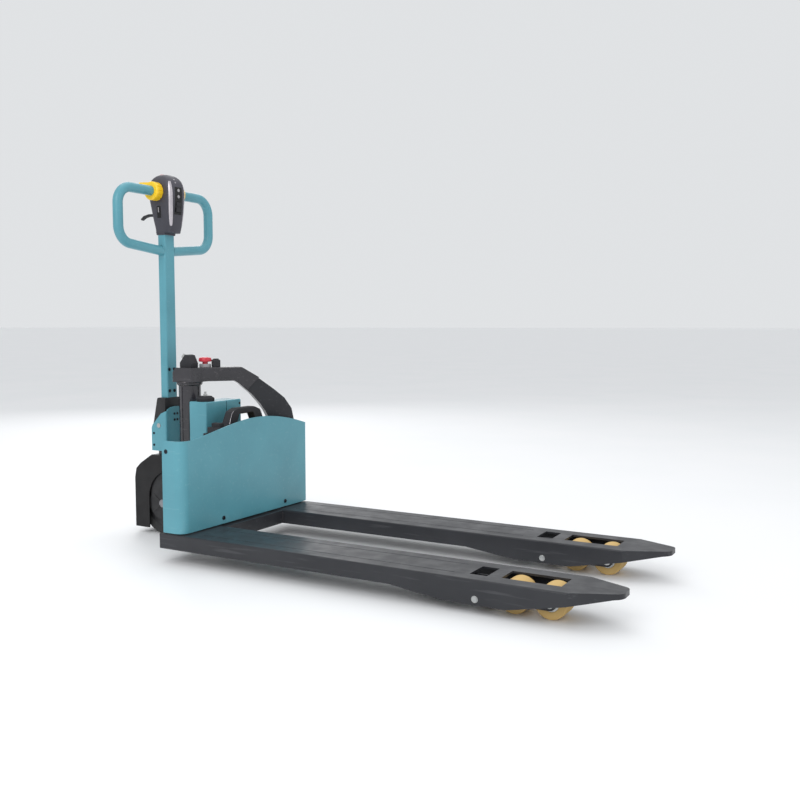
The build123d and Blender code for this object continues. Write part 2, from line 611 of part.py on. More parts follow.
def drive_yoke():
    """Cast yoke with two ribbed cheeks and a bridge over the wheel."""
    inner = WHEEL_WIDTH / 2 + 2
    bridge_z0 = WHEEL_R * 2 + 8
    bridge_z1 = GUARD_TOP - 16
    yoke = block(STEER_X - 34, STEER_X + 34, -inner - CHEEK, inner + CHEEK, bridge_z0, bridge_z1)
    for sign in (-1, 1):
        y0, y1 = sign * inner, sign * (inner + CHEEK)
        cheek = side_profile([(STEER_X - 34, bridge_z1), (STEER_X - 44, WHEEL_R + 10),
                              (STEER_X - 24, WHEEL_R - 36), (STEER_X + 24, WHEEL_R - 36),
                              (STEER_X + 44, WHEEL_R + 10), (STEER_X + 34, bridge_z1)], y0, y1)
        yoke += cheek + bar_y(48, y0, y1, STEER_X, WHEEL_R)
        for lean in (-38, 38):
            rib = Pos(STEER_X, sign * (inner + CHEEK + 0.75), WHEEL_R) * Rot(0, lean, 0) * Box(84, 1.5, 5)
            yoke += rib
    return yoke - bar_y(AXLE_R, -50, 50, STEER_X, WHEEL_R)


def motor_stator():
    """Hub motor stator on its fixed axle."""
    inner = WHEEL_WIDTH / 2 + 2 + CHEEK
    stator = bar_y(STATOR_R, -19, 19, STEER_X, WHEEL_R)
    return stator + bar_y(AXLE_R, -inner, inner, STEER_X, WHEEL_R)


def guard_outline(inset):
    """Side outline of the wheel guard, drawn in by a wall."""
    rear = REAR_X + inset
    front = STEER_X + 62
    top = GUARD_TOP - inset
    return [(rear, GUARD_BASE), (rear, 168), (rear + 6, 196), (rear + 24 - inset * 0.3, 213 - inset * 0.9),
            (STEER_X - 34, top), (front, top), (front, GUARD_BASE)]


def wheel_guard():
    """Plastic wheel guard: rear wall, top and two sides with arched openings."""
    guard = side_profile(guard_outline(0), -GUARD_HALF, GUARD_HALF)
    inner_half = GUARD_HALF - GUARD_WALL
    cavity = side_profile([(REAR_X + GUARD_WALL, GUARD_BASE - 1)] + guard_outline(GUARD_WALL)[1:-1]
                          + [(STEER_X + 62, GUARD_BASE - 1)], -inner_half, inner_half)
    guard -= cavity
    guard -= block(STEER_X + 59, STEER_X + 63, -inner_half, inner_half,
                   GUARD_BASE - 1, GUARD_TOP - GUARD_WALL)
    arch_x = REAR_X + 55
    arch = block(arch_x, STEER_X + 70, -50, 50, GUARD_BASE - 1, 110)
    arch += bar_y(88, -50, 50, arch_x + 88, 110) & block(arch_x, STEER_X + 70, -50, 50, 100, 300)
    guard -= arch
    return guard - bar_z(SPINDLE_R, GUARD_TOP - 10, GUARD_TOP + 1, STEER_X, 0)


def tiller_bracket():
    """Folded steel bracket that carries the tiller pivot, open to the rear."""
    half = BRACKET_HALF
    front = STEER_X + BRACKET_FRONT
    rear = STEER_X - 33
    cheek = [(rear, BRACKET_BASE), (rear, 322), (rear + 4, 331), (front - 20, 366), (front, 374),
             (front, BRACKET_BASE)]
    outer = side_profile(cheek, -half, half)
    crown = front_profile([(-half, 370), (-half, 374), (-20, 384), (0, 386), (20, 384), (half, 374),
                           (half, 370)], front - BRACKET_WALL, front)
    crown = crown & block(front - BRACKET_WALL, front, -half + 6, half - 6, 370, 386)
    bracket = fillet(edges_along(outer, Axis.Z).sort_by(Axis.X)[-2:], 6.0) + crown
    wall = BRACKET_WALL
    bracket -= side_profile([(rear - 1, BRACKET_BASE + 7), (front - wall, BRACKET_BASE + 7),
                             (front - wall, 400), (rear - 1, 400)], -half + wall, half - wall)
    bracket -= bar_z(SPINDLE_R, BRACKET_BASE - 1, BRACKET_BASE + 8, STEER_X, 0)
    collar = bar_z(SPINDLE_R + 5, BRACKET_BASE + 7, BRACKET_BASE + 24, STEER_X, 0)
    collar -= bar_z(SPINDLE_R, BRACKET_BASE, BRACKET_BASE + 25, STEER_X, 0)
    bracket += collar
    for place in bracket_screw_places():
        bracket -= place * Cylinder(SCREW_R, 2 * BRACKET_WALL + 2)
    return bracket - bar_y(TILT_PIN_R, -half - 1, half + 1, TILT_X, TILT_Z)


def bracket_screw_places():
    """Seat of each bracket screw, with +Z out of the bracket."""
    places = []
    for sign, turn in ((-1, 90), (1, -90)):
        for z in (271, 306):
            places.append(Pos(STEER_X - 24, sign * BRACKET_HALF, z) * Rot(turn, 0, 0))
    for y in (-6, 6):
        for z in (346, 364):
            places.append(Pos(STEER_X + BRACKET_FRONT, y, z) * Rot(0, 90, 0))
    return places


def bracket_screws():
    """Screws of the tiller bracket."""
    screw = dome_screw(3.6, 1.6, SCREW_R, BRACKET_WALL - 1)
    return Compound([place * screw for place in bracket_screw_places()])


def tiller_pin():
    """Pivot pin of the tiller."""
    return bar_y(TILT_PIN_R, -BRACKET_HALF - 1.5, BRACKET_HALF + 1.5, TILT_X, TILT_Z)


# ---------------------------------------------------------------- drive wheel
def wheel_hub():
    """Rotor drum with one side wall, running on the fixed axle."""
    half = WHEEL_WIDTH / 2
    drum = bar_y(HUB_R, -half, half, STEER_X, WHEEL_R)
    drum -= bar_y(STATOR_R + 3, -half + 7, half + 1, STEER_X, WHEEL_R)
    return drum - bar_y(AXLE_R + CLEAR, -half - 1, half, STEER_X, WHEEL_R)


def hub_cover():
    """Disc that closes the rotor drum, held by six screws."""
    half = WHEEL_WIDTH / 2
    disc = bar_y(STATOR_R + 3, half - 7, half, STEER_X, WHEEL_R)
    for index in range(6):
        angle = radians(60 * index)
        disc -= bar_y(2.5, half - 3, half + 1, STEER_X + 46 * cos(angle), WHEEL_R + 46 * sin(angle))
    return disc - bar_y(AXLE_R + CLEAR, half - 8, half + 1, STEER_X, WHEEL_R)


def drive_tyre():
    """Polyurethane drive tyre bonded to the hub."""
    half = WHEEL_WIDTH / 2
    tyre = bar_y(WHEEL_R, -half, half, STEER_X, WHEEL_R)
    tyre = fillet(tyre.edges().filter_by(GeomType.CIRCLE), 5.0)
    return tyre - bar_y(HUB_R, -half - 1, half + 1, STEER_X, WHEEL_R)


# ---------------------------------------------------------------- tiller
def tiller_knuckle():
    """Cast knuckle from the pivot up to the tube, with a wedge behind."""
    points = [(TILT_X - 30, TILT_Z + 2), (TILT_X - 27, TILT_Z + 12), (TILT_X - 12, TUBE_BASE - 2),
              (TILT_X - 8, TUBE_BASE), (TILT_X + 19, TUBE_BASE), (TILT_X + 19, TILT_Z + 20),
              (TILT_X + 14, TILT_Z)]
    body = side_profile(points, -KNUCKLE_HALF, KNUCKLE_HALF)
    body = fillet(body.faces().sort_by(Axis.Z)[-1].edges().filter_by(Axis.X), 4.0)
    body += bar_y(16, -KNUCKLE_HALF, KNUCKLE_HALF, TILT_X, TILT_Z)
    spigot_x, spigot_y = TUBE_DEPTH / 2 - TUBE_WALL - 0.5, TUBE_WIDTH / 2 - TUBE_WALL - 0.5
    spigot = block(STEER_X - spigot_x, STEER_X + spigot_x, -spigot_y, spigot_y,
                   TUBE_BASE - 2, TUBE_BASE + 50)
    body += fillet(edges_along(spigot, Axis.Z), 2.0)
    return body - bar_y(TILT_PIN_R + CLEAR, -50, 50, TILT_X, TILT_Z)


def tiller_tube():
    """Rectangular steel tube of the tiller."""
    tube = block(STEER_X - TUBE_DEPTH / 2, STEER_X + TUBE_DEPTH / 2, -TUBE_WIDTH / 2, TUBE_WIDTH / 2,
                 TUBE_BASE, TUBE_TOP)
    tube = fillet(edges_along(tube, Axis.Z), 5.0)
    core = block(STEER_X - TUBE_DEPTH / 2 + TUBE_WALL, STEER_X + TUBE_DEPTH / 2 - TUBE_WALL,
                 -TUBE_WIDTH / 2 + TUBE_WALL, TUBE_WIDTH / 2 - TUBE_WALL, TUBE_BASE - 1, TUBE_TOP + 1)
    core = fillet(edges_along(core, Axis.Z), 2.0)
    return tube - core


def handle_path(sign):
    """Centreline of one side of the handle loop, from the pod round to the tube."""
    return FilletPolyline((STEER_X, sign * 30, BAR_TOP_Z), (STEER_X, sign * HANDLE_HALF, BAR_TOP_Z),
                          (STEER_X, sign * HANDLE_HALF, BAR_LOW_Z - 6),
                          (STEER_X, sign * (TUBE_WIDTH / 2 - 1), BAR_JOIN_Z), radius=48)


def handle_loop():
    """Bent handle tubes, one loop on each side of the tiller."""
    solids = []
    for sign in SIDES.values():
        path = handle_path(sign)
        ring = Plane(origin=path @ 0, z_dir=path % 0) * (Circle(BAR_R) - Circle(BAR_R - BAR_WALL))
        side = sweep(ring, path=path)
        side -= block(STEER_X - 30, STEER_X + 30, -TUBE_WIDTH / 2, TUBE_WIDTH / 2,
                      BAR_JOIN_Z - 40, BAR_JOIN_Z + 40)
        solids.extend(side.solids())
    return Compound(solids)


def pod_blob(inset):
    """Round-cornered pod body, drawn in by a wall."""
    rings = []
    for rise, rear, front, half_width, corner in POD_STATIONS:
        height = min(max(POD_BASE + rise, POD_BASE + inset), POD_TOP - inset)
        section = RectangleRounded(rear + front - 2 * inset, 2 * (half_width - inset), corner - inset)
        rings.append(Pos(POD_X + (front - rear) / 2, 0, height) * section)
    return loft(rings)


def pod_shell(front):
    """Front or rear half of the pod housing."""
    shell = pod_blob(0) - pod_blob(POD_WALL)
    big = 200
    x0, x1 = (POD_SPLIT_X, POD_SPLIT_X + big) if front else (POD_SPLIT_X - big, POD_SPLIT_X)
    shell = shell & block(x0, x1, -big, big, POD_BASE - 10, POD_TOP + 10)
    shell -= bar_y(BAR_R, -60, 60, STEER_X, BAR_TOP_Z)
    shell -= Pos(BELLY_X, 0, POD_TOP) * Cylinder(BELLY_R + BUTTON_CLEAR, 60)
    shell -= block(STEER_X - TUBE_DEPTH / 2, STEER_X + TUBE_DEPTH / 2, -TUBE_WIDTH / 2, TUBE_WIDTH / 2,
                   POD_BASE - 10, TUBE_TOP + 1)
    if front:
        for z in BUTTON_Z:
            shell -= bar_x(BUTTON_R + BUTTON_CLEAR, POD_X + 10, POD_X + 60, 0, z)
        shell -= block(POD_X + 10, POD_X + 60, -ROCKER_HALF_Y - 0.4, ROCKER_HALF_Y + 0.4,
                       ROCKER_Z - ROCKER_HALF_Z - 1.2, ROCKER_Z + ROCKER_HALF_Z + 1.2)
    else:
        shell -= block(POD_X - 60, POD_X - 20, LEVER_Y - 6, LEVER_Y + 6, LEVER_Z - 9, LEVER_Z + 9)
    return shell


def pod_button(z):
    """Round push button on the pod's front."""
    face_x = POD_X + pod_depth(z)
    button = bar_x(BUTTON_R, face_x - 12, face_x + 2.5, 0, z)
    return chamfer(button.faces().sort_by(Axis.X)[-1].edges(), 0.8)


def pod_depth(z):
    """Reach of the pod's front at a height, between its stations."""
    for lower, upper in zip(POD_STATIONS, POD_STATIONS[1:]):
        if POD_BASE + upper[0] >= z:
            share = (z - POD_BASE - lower[0]) / (upper[0] - lower[0])
            return lower[2] + (upper[2] - lower[2]) * share


def lift_rocker():
    """Raise and lower rocker on the pod's front."""
    face_x = POD_X + pod_depth(ROCKER_Z)
    body = block(face_x - 8, face_x + ROCKER_PROUD, -ROCKER_HALF_Y, ROCKER_HALF_Y, ROCKER_Z - ROCKER_HALF_Z,
                 ROCKER_Z + ROCKER_HALF_Z)
    body = fillet(body.faces().sort_by(Axis.X)[-1].edges().filter_by(Axis.Y), 4.0)
    groove_x = face_x + ROCKER_PROUD - 1.5
    body -= block(groove_x, groove_x + 5, -ROCKER_HALF_Y - 1, ROCKER_HALF_Y + 1, ROCKER_Z - 3, ROCKER_Z + 3)
    half_pin = ROCKER_HALF_Y + ROCKER_PIN_OUT
    return body + bar_y(ROCKER_PIN_R, -half_pin, half_pin, face_x - ROCKER_PIN_IN, ROCKER_Z)


def belly_button():
    """Red safety reversing button on top of the pod."""
    button = Pos(BELLY_X, 0, POD_TOP - 8) * Cylinder(BELLY_R, 20)
    return fillet(button.faces().sort_by(Axis.Z)[-1].edges(), 4.0)


def throttle_knobs():
    """Butterfly throttle: a ribbed knob with a thumb wing on each side of the pod."""
    solids = []
    for sign in SIDES.values():
        y0, y1 = sign * KNOB_IN_Y, sign * KNOB_OUT_Y
        knob = bar_y(KNOB_R, y0, y1, STEER_X, BAR_TOP_Z)
        knob = fillet(knob.faces().sort_by(Axis.Y)[-1 if sign > 0 else 0].edges(), 5.0)
        wing = [(STEER_X - 8, BAR_TOP_Z + 25), (STEER_X - 46, BAR_TOP_Z + 27),
                (STEER_X - 50, BAR_TOP_Z + 19), (STEER_X - 22, BAR_TOP_Z + 8)]
        knob += side_profile(wing, y0 + sign * 3, y1 - sign * 3)
        for index in range(14):
            turn = 360 / 14 * index
            if 120 < turn < 215:
                continue
            angle = radians(turn)
            knob -= bar_y(1.6, y0 - sign, y1 + sign, STEER_X + (KNOB_R + 0.4) * cos(angle),
                          BAR_TOP_Z + (KNOB_R + 0.4) * sin(angle))
        knob -= bar_y(KNOB_BORE_R, y0 - sign * 5, y1 + sign * 5, STEER_X, BAR_TOP_Z)
        solids.extend(knob.solids())
    return Compound(solids)


def release_lever():
    """Curved finger lever behind the pod."""
    root_x = POD_X - 24
    blade = side_profile([(root_x, LEVER_Z + 4), (root_x - 34, LEVER_Z + 5), (root_x - 54, LEVER_Z + 1),
                          (root_x - 66, LEVER_Z - 8), (root_x - 62, LEVER_Z - 12),
                          (root_x - 50, LEVER_Z - 5), (root_x - 34, LEVER_Z - 2), (root_x, LEVER_Z - 4)],
                         LEVER_Y - 5, LEVER_Y + 5)
    return blade + bar_y(6, LEVER_Y - 5, LEVER_Y + 5, root_x, LEVER_Z)


# ---------------------------------------------------------------- load linkage
def rocker_shaft():
    """Torsion shaft with its cranks and rod levers."""
    shaft = bar_y(SHAFT_R, -SHAFT_HALF, SHAFT_HALF, SHAFT_X, SHAFT_Z)
    rise = radians(CRANK_RISE)
    tip_x, tip_z = SHAFT_X - CRANK_LENGTH * cos(rise), SHAFT_Z + CRANK_LENGTH * sin(rise)
    lean = radians(ROCKER_SWING / 2)
    lever_x, lever_z = SHAFT_X - ROCKER_LEVER * sin(lean), SHAFT_Z - ROCKER_LEVER * cos(lean)
    for sign in SIDES.values():
        y = sign * CRANK_Y
        shaft += link_plate(SHAFT_X, SHAFT_Z, SHAFT_R + 3, tip_x, tip_z, CRANK_ROLLER_R,
                            y - CRANK_HALF, y + CRANK_HALF)
        shaft += bar_y(CRANK_ROLLER_R, sign * CRANK_ROLLER_IN, y, tip_x, tip_z)
        y = sign * FORK_Y
        shaft += link_plate(SHAFT_X, SHAFT_Z, SHAFT_R + 2, lever_x, lever_z, 6.5, y - 5, y + 5)
        shaft += bar_y(LEVER_PIN_R, y - 5 - GAP - EAR, y + 5 + GAP + EAR, lever_x, lever_z)
    return shaft


def rod_clevis(x, y, lever_half, pin_z0, pin_z1, facing):
    """Slotted clevis at one end of a push rod; facing is +1 when the lever is ahead of the rod."""
    inside = lever_half + GAP
    half_slot = LEVER_PIN_R + SLOT_SLACK
    z0, z1 = pin_z0 - half_slot - EAR_BASE_WALL, pin_z1 + half_slot + EAR_TOP_WALL
    clevis = None
    for sign in (-1, 1):
        y0, y1 = y + sign * inside, y + sign * (inside + EAR)
        ear = block(x - facing * 34, x + facing * (half_slot + 5), y0, y1, z0, z1)
        clevis = ear if clevis is None else clevis + ear
    slot = block(x - half_slot, x + half_slot, y - 30, y + 30, pin_z0 - half_slot, pin_z1 + half_slot)
    return clevis - slot


def push_rod(side):
    """Flat push rod in a fork, from the rocker lever to the load wheel arm."""
    y = SIDES[side] * FORK_Y
    lean = radians(ROCKER_SWING / 2)
    rocker_x = SHAFT_X - ROCKER_LEVER * sin(lean)
    rocker_z0, rocker_z1 = SHAFT_Z - ROCKER_LEVER, SHAFT_Z - ROCKER_LEVER * cos(lean)
    half_swing = radians(ARM_SWING / 2)
    arm_x = ARM_X - LEVER_LENGTH * sin(half_swing)
    arm_z0, arm_z1 = ARM_PIN_Z + LEVER_LENGTH * cos(half_swing), ARM_PIN_Z + LEVER_LENGTH
    rear = rod_clevis(rocker_x, y, 5, rocker_z0, rocker_z1, -1)
    front = rod_clevis(arm_x, y, 6, arm_z0, arm_z1, 1)
    bar = block(rocker_x + 22, arm_x - 24, y - ROD_WIDTH / 2, y + ROD_WIDTH / 2, 55, 64)
    return bar + rear + front


def load_arm(side):
    """Load wheel arm: two plates, a pivot tube and the lever that the rod pushes."""
    y = SIDES[side] * FORK_Y
    inside = ROLLER_WIDTH / 2 + 2 + BOGIE_PLATE + 2
    outside = inside + ARM_PLATE
    tube = bar_y(14, y - outside, y + outside, ARM_X, ARM_PIN_Z)
    arm = tube
    for sign in (-1, 1):
        arm += link_plate(ARM_X, ARM_PIN_Z, 13, BOGIE_X, ROLLER_R, 12.5,
                          y + sign * inside, y + sign * outside)
    half_swing = radians(ARM_SWING / 2)
    lever_x, lever_z = ARM_X - LEVER_LENGTH * sin(half_swing), ARM_PIN_Z + LEVER_LENGTH * cos(half_swing)
    arm += link_plate(ARM_X, ARM_PIN_Z, 13, lever_x, lever_z, 6.5, y - 6, y + 6)
    arm += bar_y(LEVER_PIN_R, y - 6 - GAP - EAR, y + 6 + GAP + EAR, lever_x, lever_z)
    arm -= bar_y(BOGIE_PIN_R + CLEAR, y - outside - 1, y + outside + 1, BOGIE_X, ROLLER_R)
    return arm - bar_y(ARM_PIN_R + CLEAR, y - outside - 1, y + outside + 1, ARM_X, ARM_PIN_Z)


def bogie(side):
    """Pair of side plates that carry the two load rollers."""
    y = SIDES[side] * FORK_Y
    half = ROLLER_PITCH / 2
    inside = ROLLER_WIDTH / 2 + 2
    solids = []
    for sign in (-1, 1):
        y0, y1 = y + sign * inside, y + sign * (inside + BOGIE_PLATE)
        plate = link_plate(BOGIE_X - half, ROLLER_R, 15, BOGIE_X + half, ROLLER_R, 15, y0, y1)
        for dx in (-half, half):
            plate -= bar_y(ROLLER_AXLE_R, y0 - sign, y1 + sign, BOGIE_X + dx, ROLLER_R)
        plate -= bar_y(BOGIE_PIN_R, y0 - sign, y1 + sign, BOGIE_X, ROLLER_R)
        solids.extend(plate.solids())
    return Compound(solids)


def bogie_pins(side):
    """Two bogie pivot stubs and the two roller axles."""
    y = SIDES[side] * FORK_Y
    half = ROLLER_PITCH / 2
    axle_half = ROLLER_WIDTH / 2 + 2 + BOGIE_PLATE
    pivot_half = axle_half + 2 + ARM_PLATE
    solids = []
    for sign in (-1, 1):
        y0, y1 = y + sign * (ROLLER_WIDTH / 2 + 2), y + sign * pivot_half
        solids.append(bar_y(BOGIE_PIN_R, y0, y1, BOGIE_X, ROLLER_R))
    for dx in (-half, half):
        solids.append(bar_y(ROLLER_AXLE_R, y - axle_half, y + axle_half, BOGIE_X + dx, ROLLER_R))
    return Compound(solids)


def load_roller(side, place):
    """Polyurethane load roller with a bore for its axle."""
    y = SIDES[side] * FORK_Y
    x = BOGIE_X + (ROLLER_PITCH / 2 if place == "front" else -ROLLER_PITCH / 2)
    half = ROLLER_WIDTH / 2
    roller = bar_y(ROLLER_R, y - half, y + half, x, ROLLER_R)
    roller = fillet(roller.edges().filter_by(GeomType.CIRCLE), 3.0)
    return roller - bar_y(ROLLER_AXLE_R + CLEAR, y - half - 1, y + half + 1, x, ROLLER_R)


# ---------------------------------------------------------------- all sub-parts
def all_parts():
    """Name and solid of every sub-part."""
    parts = {
        "crossbeam": crossbeam(), "front_cover": front_cover(), "cover_screws": cover_screws(),
        "gooseneck_leg": gooseneck_leg(), "gooseneck_head": gooseneck_head(), "guide_post": guide_post(),
        "lift_ram": lift_ram(), "battery_tray": battery_tray(), "battery_case": battery_case(),
        "battery_handle": battery_handle(), "battery_plug": battery_plug(), "switch_body": switch_body(),
        "ignition_key": ignition_key(), "estop_base": estop_base(), "estop_button": estop_button(),
        "charge_socket": charge_socket(), "arm_pins": arm_pins(), "carriage_plate": carriage_plate(),
        "steer_bearing": steer_bearing(), "lift_cylinder": lift_cylinder(), "pump_cover": pump_cover(),
        "oil_tank": oil_tank(), "pump_motor": pump_motor(), "tank_cap": tank_cap(),
        "steer_spindle": steer_spindle(), "drive_yoke": drive_yoke(), "motor_stator": motor_stator(),
        "wheel_guard": wheel_guard(), "tiller_bracket": tiller_bracket(),
        "bracket_screws": bracket_screws(), "tiller_pin": tiller_pin(), "wheel_hub": wheel_hub(),
        "hub_cover": hub_cover(), "drive_tyre": drive_tyre(), "tiller_knuckle": tiller_knuckle(),
        "tiller_tube": tiller_tube(), "handle_loop": handle_loop(), "pod_front_shell": pod_shell(True),
        "pod_rear_shell": pod_shell(False), "throttle_knobs": throttle_knobs(),
        "belly_button": belly_button(), "horn_button": pod_button(BUTTON_Z[0]),
        "speed_button": pod_button(BUTTON_Z[1]), "lift_rocker": lift_rocker(),
        "release_lever": release_lever(), "rocker_shaft": rocker_shaft(),
    }
    for side in SIDES:
        parts[side + "_fork"] = fork(side)
        parts[side + "_push_rod"] = push_rod(side)
        parts[side + "_load_arm"] = load_arm(side)
        parts[side + "_bogie"] = bogie(side)
        parts[side + "_bogie_pins"] = bogie_pins(side)
        for place in ("front", "rear"):
            parts[side + "_" + place + "_roller"] = load_roller(side, place)
    return parts


if __name__ == "__main__":
    os.makedirs("parts", exist_ok=True)
    for name, solid in all_parts().items():
        export_step(solid, "parts/" + name + ".step")
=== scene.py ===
import json
import logging
import math
import random
from dataclasses import dataclass
from enum import Enum
from typing import Callable, ClassVar, Iterable, Sequence

import bmesh
import bpy
from mathutils import Matrix, Vector
from mathutils.bvhtree import BVHTree


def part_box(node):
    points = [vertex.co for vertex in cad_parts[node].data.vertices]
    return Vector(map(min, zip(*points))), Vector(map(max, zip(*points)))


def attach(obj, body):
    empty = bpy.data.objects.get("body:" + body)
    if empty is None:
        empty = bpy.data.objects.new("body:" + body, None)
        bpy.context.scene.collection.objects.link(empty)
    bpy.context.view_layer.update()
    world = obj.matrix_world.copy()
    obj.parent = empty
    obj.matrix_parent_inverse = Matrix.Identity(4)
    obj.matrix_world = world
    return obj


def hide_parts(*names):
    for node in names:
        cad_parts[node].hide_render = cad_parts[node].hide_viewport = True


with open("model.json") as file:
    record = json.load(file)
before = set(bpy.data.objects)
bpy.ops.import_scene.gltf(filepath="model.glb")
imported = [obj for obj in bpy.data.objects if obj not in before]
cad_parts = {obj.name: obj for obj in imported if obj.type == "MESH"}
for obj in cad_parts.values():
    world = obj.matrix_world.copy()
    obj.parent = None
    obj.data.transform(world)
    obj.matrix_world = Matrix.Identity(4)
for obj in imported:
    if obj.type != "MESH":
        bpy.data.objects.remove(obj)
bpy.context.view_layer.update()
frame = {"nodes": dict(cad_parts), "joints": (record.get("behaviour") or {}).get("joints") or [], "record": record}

LOG = logging.getLogger("pallet_truck")
MM = 0.001
TURN = 2 * math.pi
SEED = 12
MOST_LOST = 0.12            # share of a node's volume that broken edges may take away
RIPPLE = 1.6 * MM           # step between the ripples of a weld bead
FAR_OFF = 0.2               # start of the rays that feel a flank, in metres from the middle
AHEAD = 50 * MM             # start of the rays that feel the pod's front
SIDES = {"near": -1, "far": 1}
BODY_OF = {node: body for body, nodes in frame["record"]["behaviour"]["bodies"].items() for node in nodes}

Colour = tuple[float, float, float, float]
Mesh = bmesh.types.BMesh
Socket = bpy.types.NodeSocket
Value = float | Sequence[float]


def srgb(red: int, green: int, blue: int) -> Colour:
    """Linear colour of an 8-bit display colour.

    Args:
        red, green, blue: Display values, 0 to 255.

    Returns:
        Linear red, green, blue and an alpha of 1.
    """
    def linear(value: int) -> float:
        """One channel made linear."""
        share = value / 255
        return share / 12.92 if share <= 0.04045 else ((share + 0.055) / 1.055) ** 2.4
    return linear(red), linear(green), linear(blue), 1.0


class Axis(Enum):
    """Unit directions of the truck."""
    X = Vector((1, 0, 0))
    Y = Vector((0, 1, 0))
    Z = Vector((0, 0, 1))


# ---------------- finishes
class Surface:
    """Nodes of one material, all read from the piece's own Object coordinates."""

    def __init__(self, name: str, metallic: float = 0.0) -> None:
        """Starts the material with a Principled shader.

        Args:
            name: Name of the material.
            metallic: 0 for paint and plastic, 1 for bare metal.
        """
        self.material = bpy.data.materials.new(name)
        self.material.use_nodes = True
        self.tree = self.material.node_tree
        self.tree.nodes.clear()
        self.shader = self.add("ShaderNodeBsdfPrincipled", Metallic=metallic)
        output = self.add("ShaderNodeOutputMaterial")
        self.join(self.shader.outputs[0], output.inputs[0])
        self.place = self.add("ShaderNodeTexCoord").outputs["Object"]

    def add(self, kind: str, **values: Value) -> bpy.types.Node:
        """Adds one node of a kind."""
        return self.tune(self.tree.nodes.new(kind), values)

    def tune(self, node: bpy.types.Node, values: dict[str, Value]) -> bpy.types.Node:
        """Sets named inputs of a node."""
        for name, value in values.items():
            node.inputs[name].default_value = value
        return node

    def join(self, source: Socket, target: Socket) -> None:
        """Links two sockets."""
        self.tree.links.new(source, target)

    def noise(self, scale: float, detail: float = 3.0,
              stretch: tuple[float, float, float] = (1, 1, 1)) -> Socket:
        """Noise over the piece.

        Args:
            scale: Patches per metre.
            detail: Octaves.
            stretch: How much finer the pattern is along each axis.

        Returns:
            The noise value, about 0.3 to 0.7.
        """
        mapping = self.add("ShaderNodeMapping", Scale=stretch)
        self.join(self.place, mapping.inputs["Vector"])
        noise = self.add("ShaderNodeTexNoise", Scale=scale, Detail=detail)
        self.join(mapping.outputs[0], noise.inputs["Vector"])
        return noise.outputs[0]

    def span(self, value: Socket, low: float, high: float,
             to_low: float = 0.0, to_high: float = 1.0) -> Socket:
        """Maps a value from one range onto another, clamped."""
        node = self.add("ShaderNodeMapRange")
        self.join(value, node.inputs[0])
        for index, number in enumerate((low, high, to_low, to_high), 1):
            node.inputs[index].default_value = number
        return node.outputs[0]

    def times(self, first: Socket, second: Socket) -> Socket:
        """Product of two values."""
        node = self.add("ShaderNodeMath")
        node.operation = "MULTIPLY"
        self.join(first, node.inputs[0])
        self.join(second, node.inputs[1])
        return node.outputs[0]

    def blend(self, share: Socket, first: Colour | Socket,
              second: Colour) -> Socket:
        """Mixes towards a second colour.

        Args:
            share: 0 for the first colour, 1 for the second.
            first: A colour, or the socket of one.
            second: A colour.

        Returns:
            The mixed colour.
        """
        node = self.add("ShaderNodeMix")
        node.data_type = "RGBA"
        self.join(share, node.inputs[0])
        if isinstance(first, tuple):
            node.inputs[6].default_value = first
        else:
            self.join(first, node.inputs[6])
        node.inputs[7].default_value = second
        return node.outputs[2]

    def edge_mask(self, radius: float, patchy: float) -> Socket:
        """Mask of the outer edges, used for edge wear and for painted edge highlights.

        Args:
            radius: How far from an edge the mask reaches, in metres.
            patchy: Patches per metre that break the mask up.

        Returns:
            0 away from the edges, up to 1 on an outer edge.
        """
        bevel = self.add("ShaderNodeBevel", Radius=radius)
        bevel.samples = 4
        geometry = self.add("ShaderNodeNewGeometry")
        dot = self.add("ShaderNodeVectorMath")
        dot.operation = "DOT_PRODUCT"
        self.join(bevel.outputs[0], dot.inputs[0])
        self.join(geometry.outputs["True Normal"], dot.inputs[1])
        edge = self.span(dot.outputs["Value"], 0.97, 0.80)
        return self.times(edge, self.span(self.noise(patchy, 4.0), 0.44, 0.60))

    def bumps(self, layers: Sequence[tuple[Socket, float]]) -> None:
        """Stacks height layers, each with its depth in metres."""
        normal = None
        for height, depth in layers:
            node = self.add("ShaderNodeBump", Strength=1.0, Distance=depth)
            self.join(height, node.inputs["Height"])
            if normal is not None:
                self.join(normal, node.inputs["Normal"])
            normal = node.outputs[0]
        self.join(normal, self.shader.inputs["Normal"])

    def colour(self, value: Socket) -> None:
        """Sets the base colour."""
        self.join(value, self.shader.inputs["Base Color"])

    def rough(self, pattern: Socket, level: float, less: float, more: float, reach: float = 0.15) -> None:
        """Varies the roughness about a level, over a pattern that reaches so far from a half."""
        value = self.span(pattern, 0.5 - reach, 0.5 + reach, level - less, level + more)
        self.join(value, self.shader.inputs["Roughness"])


@dataclass(frozen=True)
class Finish:
    """What every finish has: its name, its record slot and its two shades."""
    name: str
    slot: str
    base: Colour
    shade: Colour
    roughness: float
    gloss: float = 0.5
    metallic: ClassVar[float] = 0.0

    def material(self) -> bpy.types.Material:
        """The finish's material, made once."""
        if self.name not in bpy.data.materials:
            self.paint(Surface(self.name, self.metallic))
        return bpy.data.materials[self.name]

    def paint(self, s: Surface) -> None:
        """Paints a fresh surface."""
        raise NotImplementedError

    def mottled(self, s: Surface, scale: float, detail: float, low: float, high: float) -> Socket:
        """Patchy mix of the two shades."""
        return s.blend(s.span(s.noise(scale, detail), low, high), self.base, self.shade)


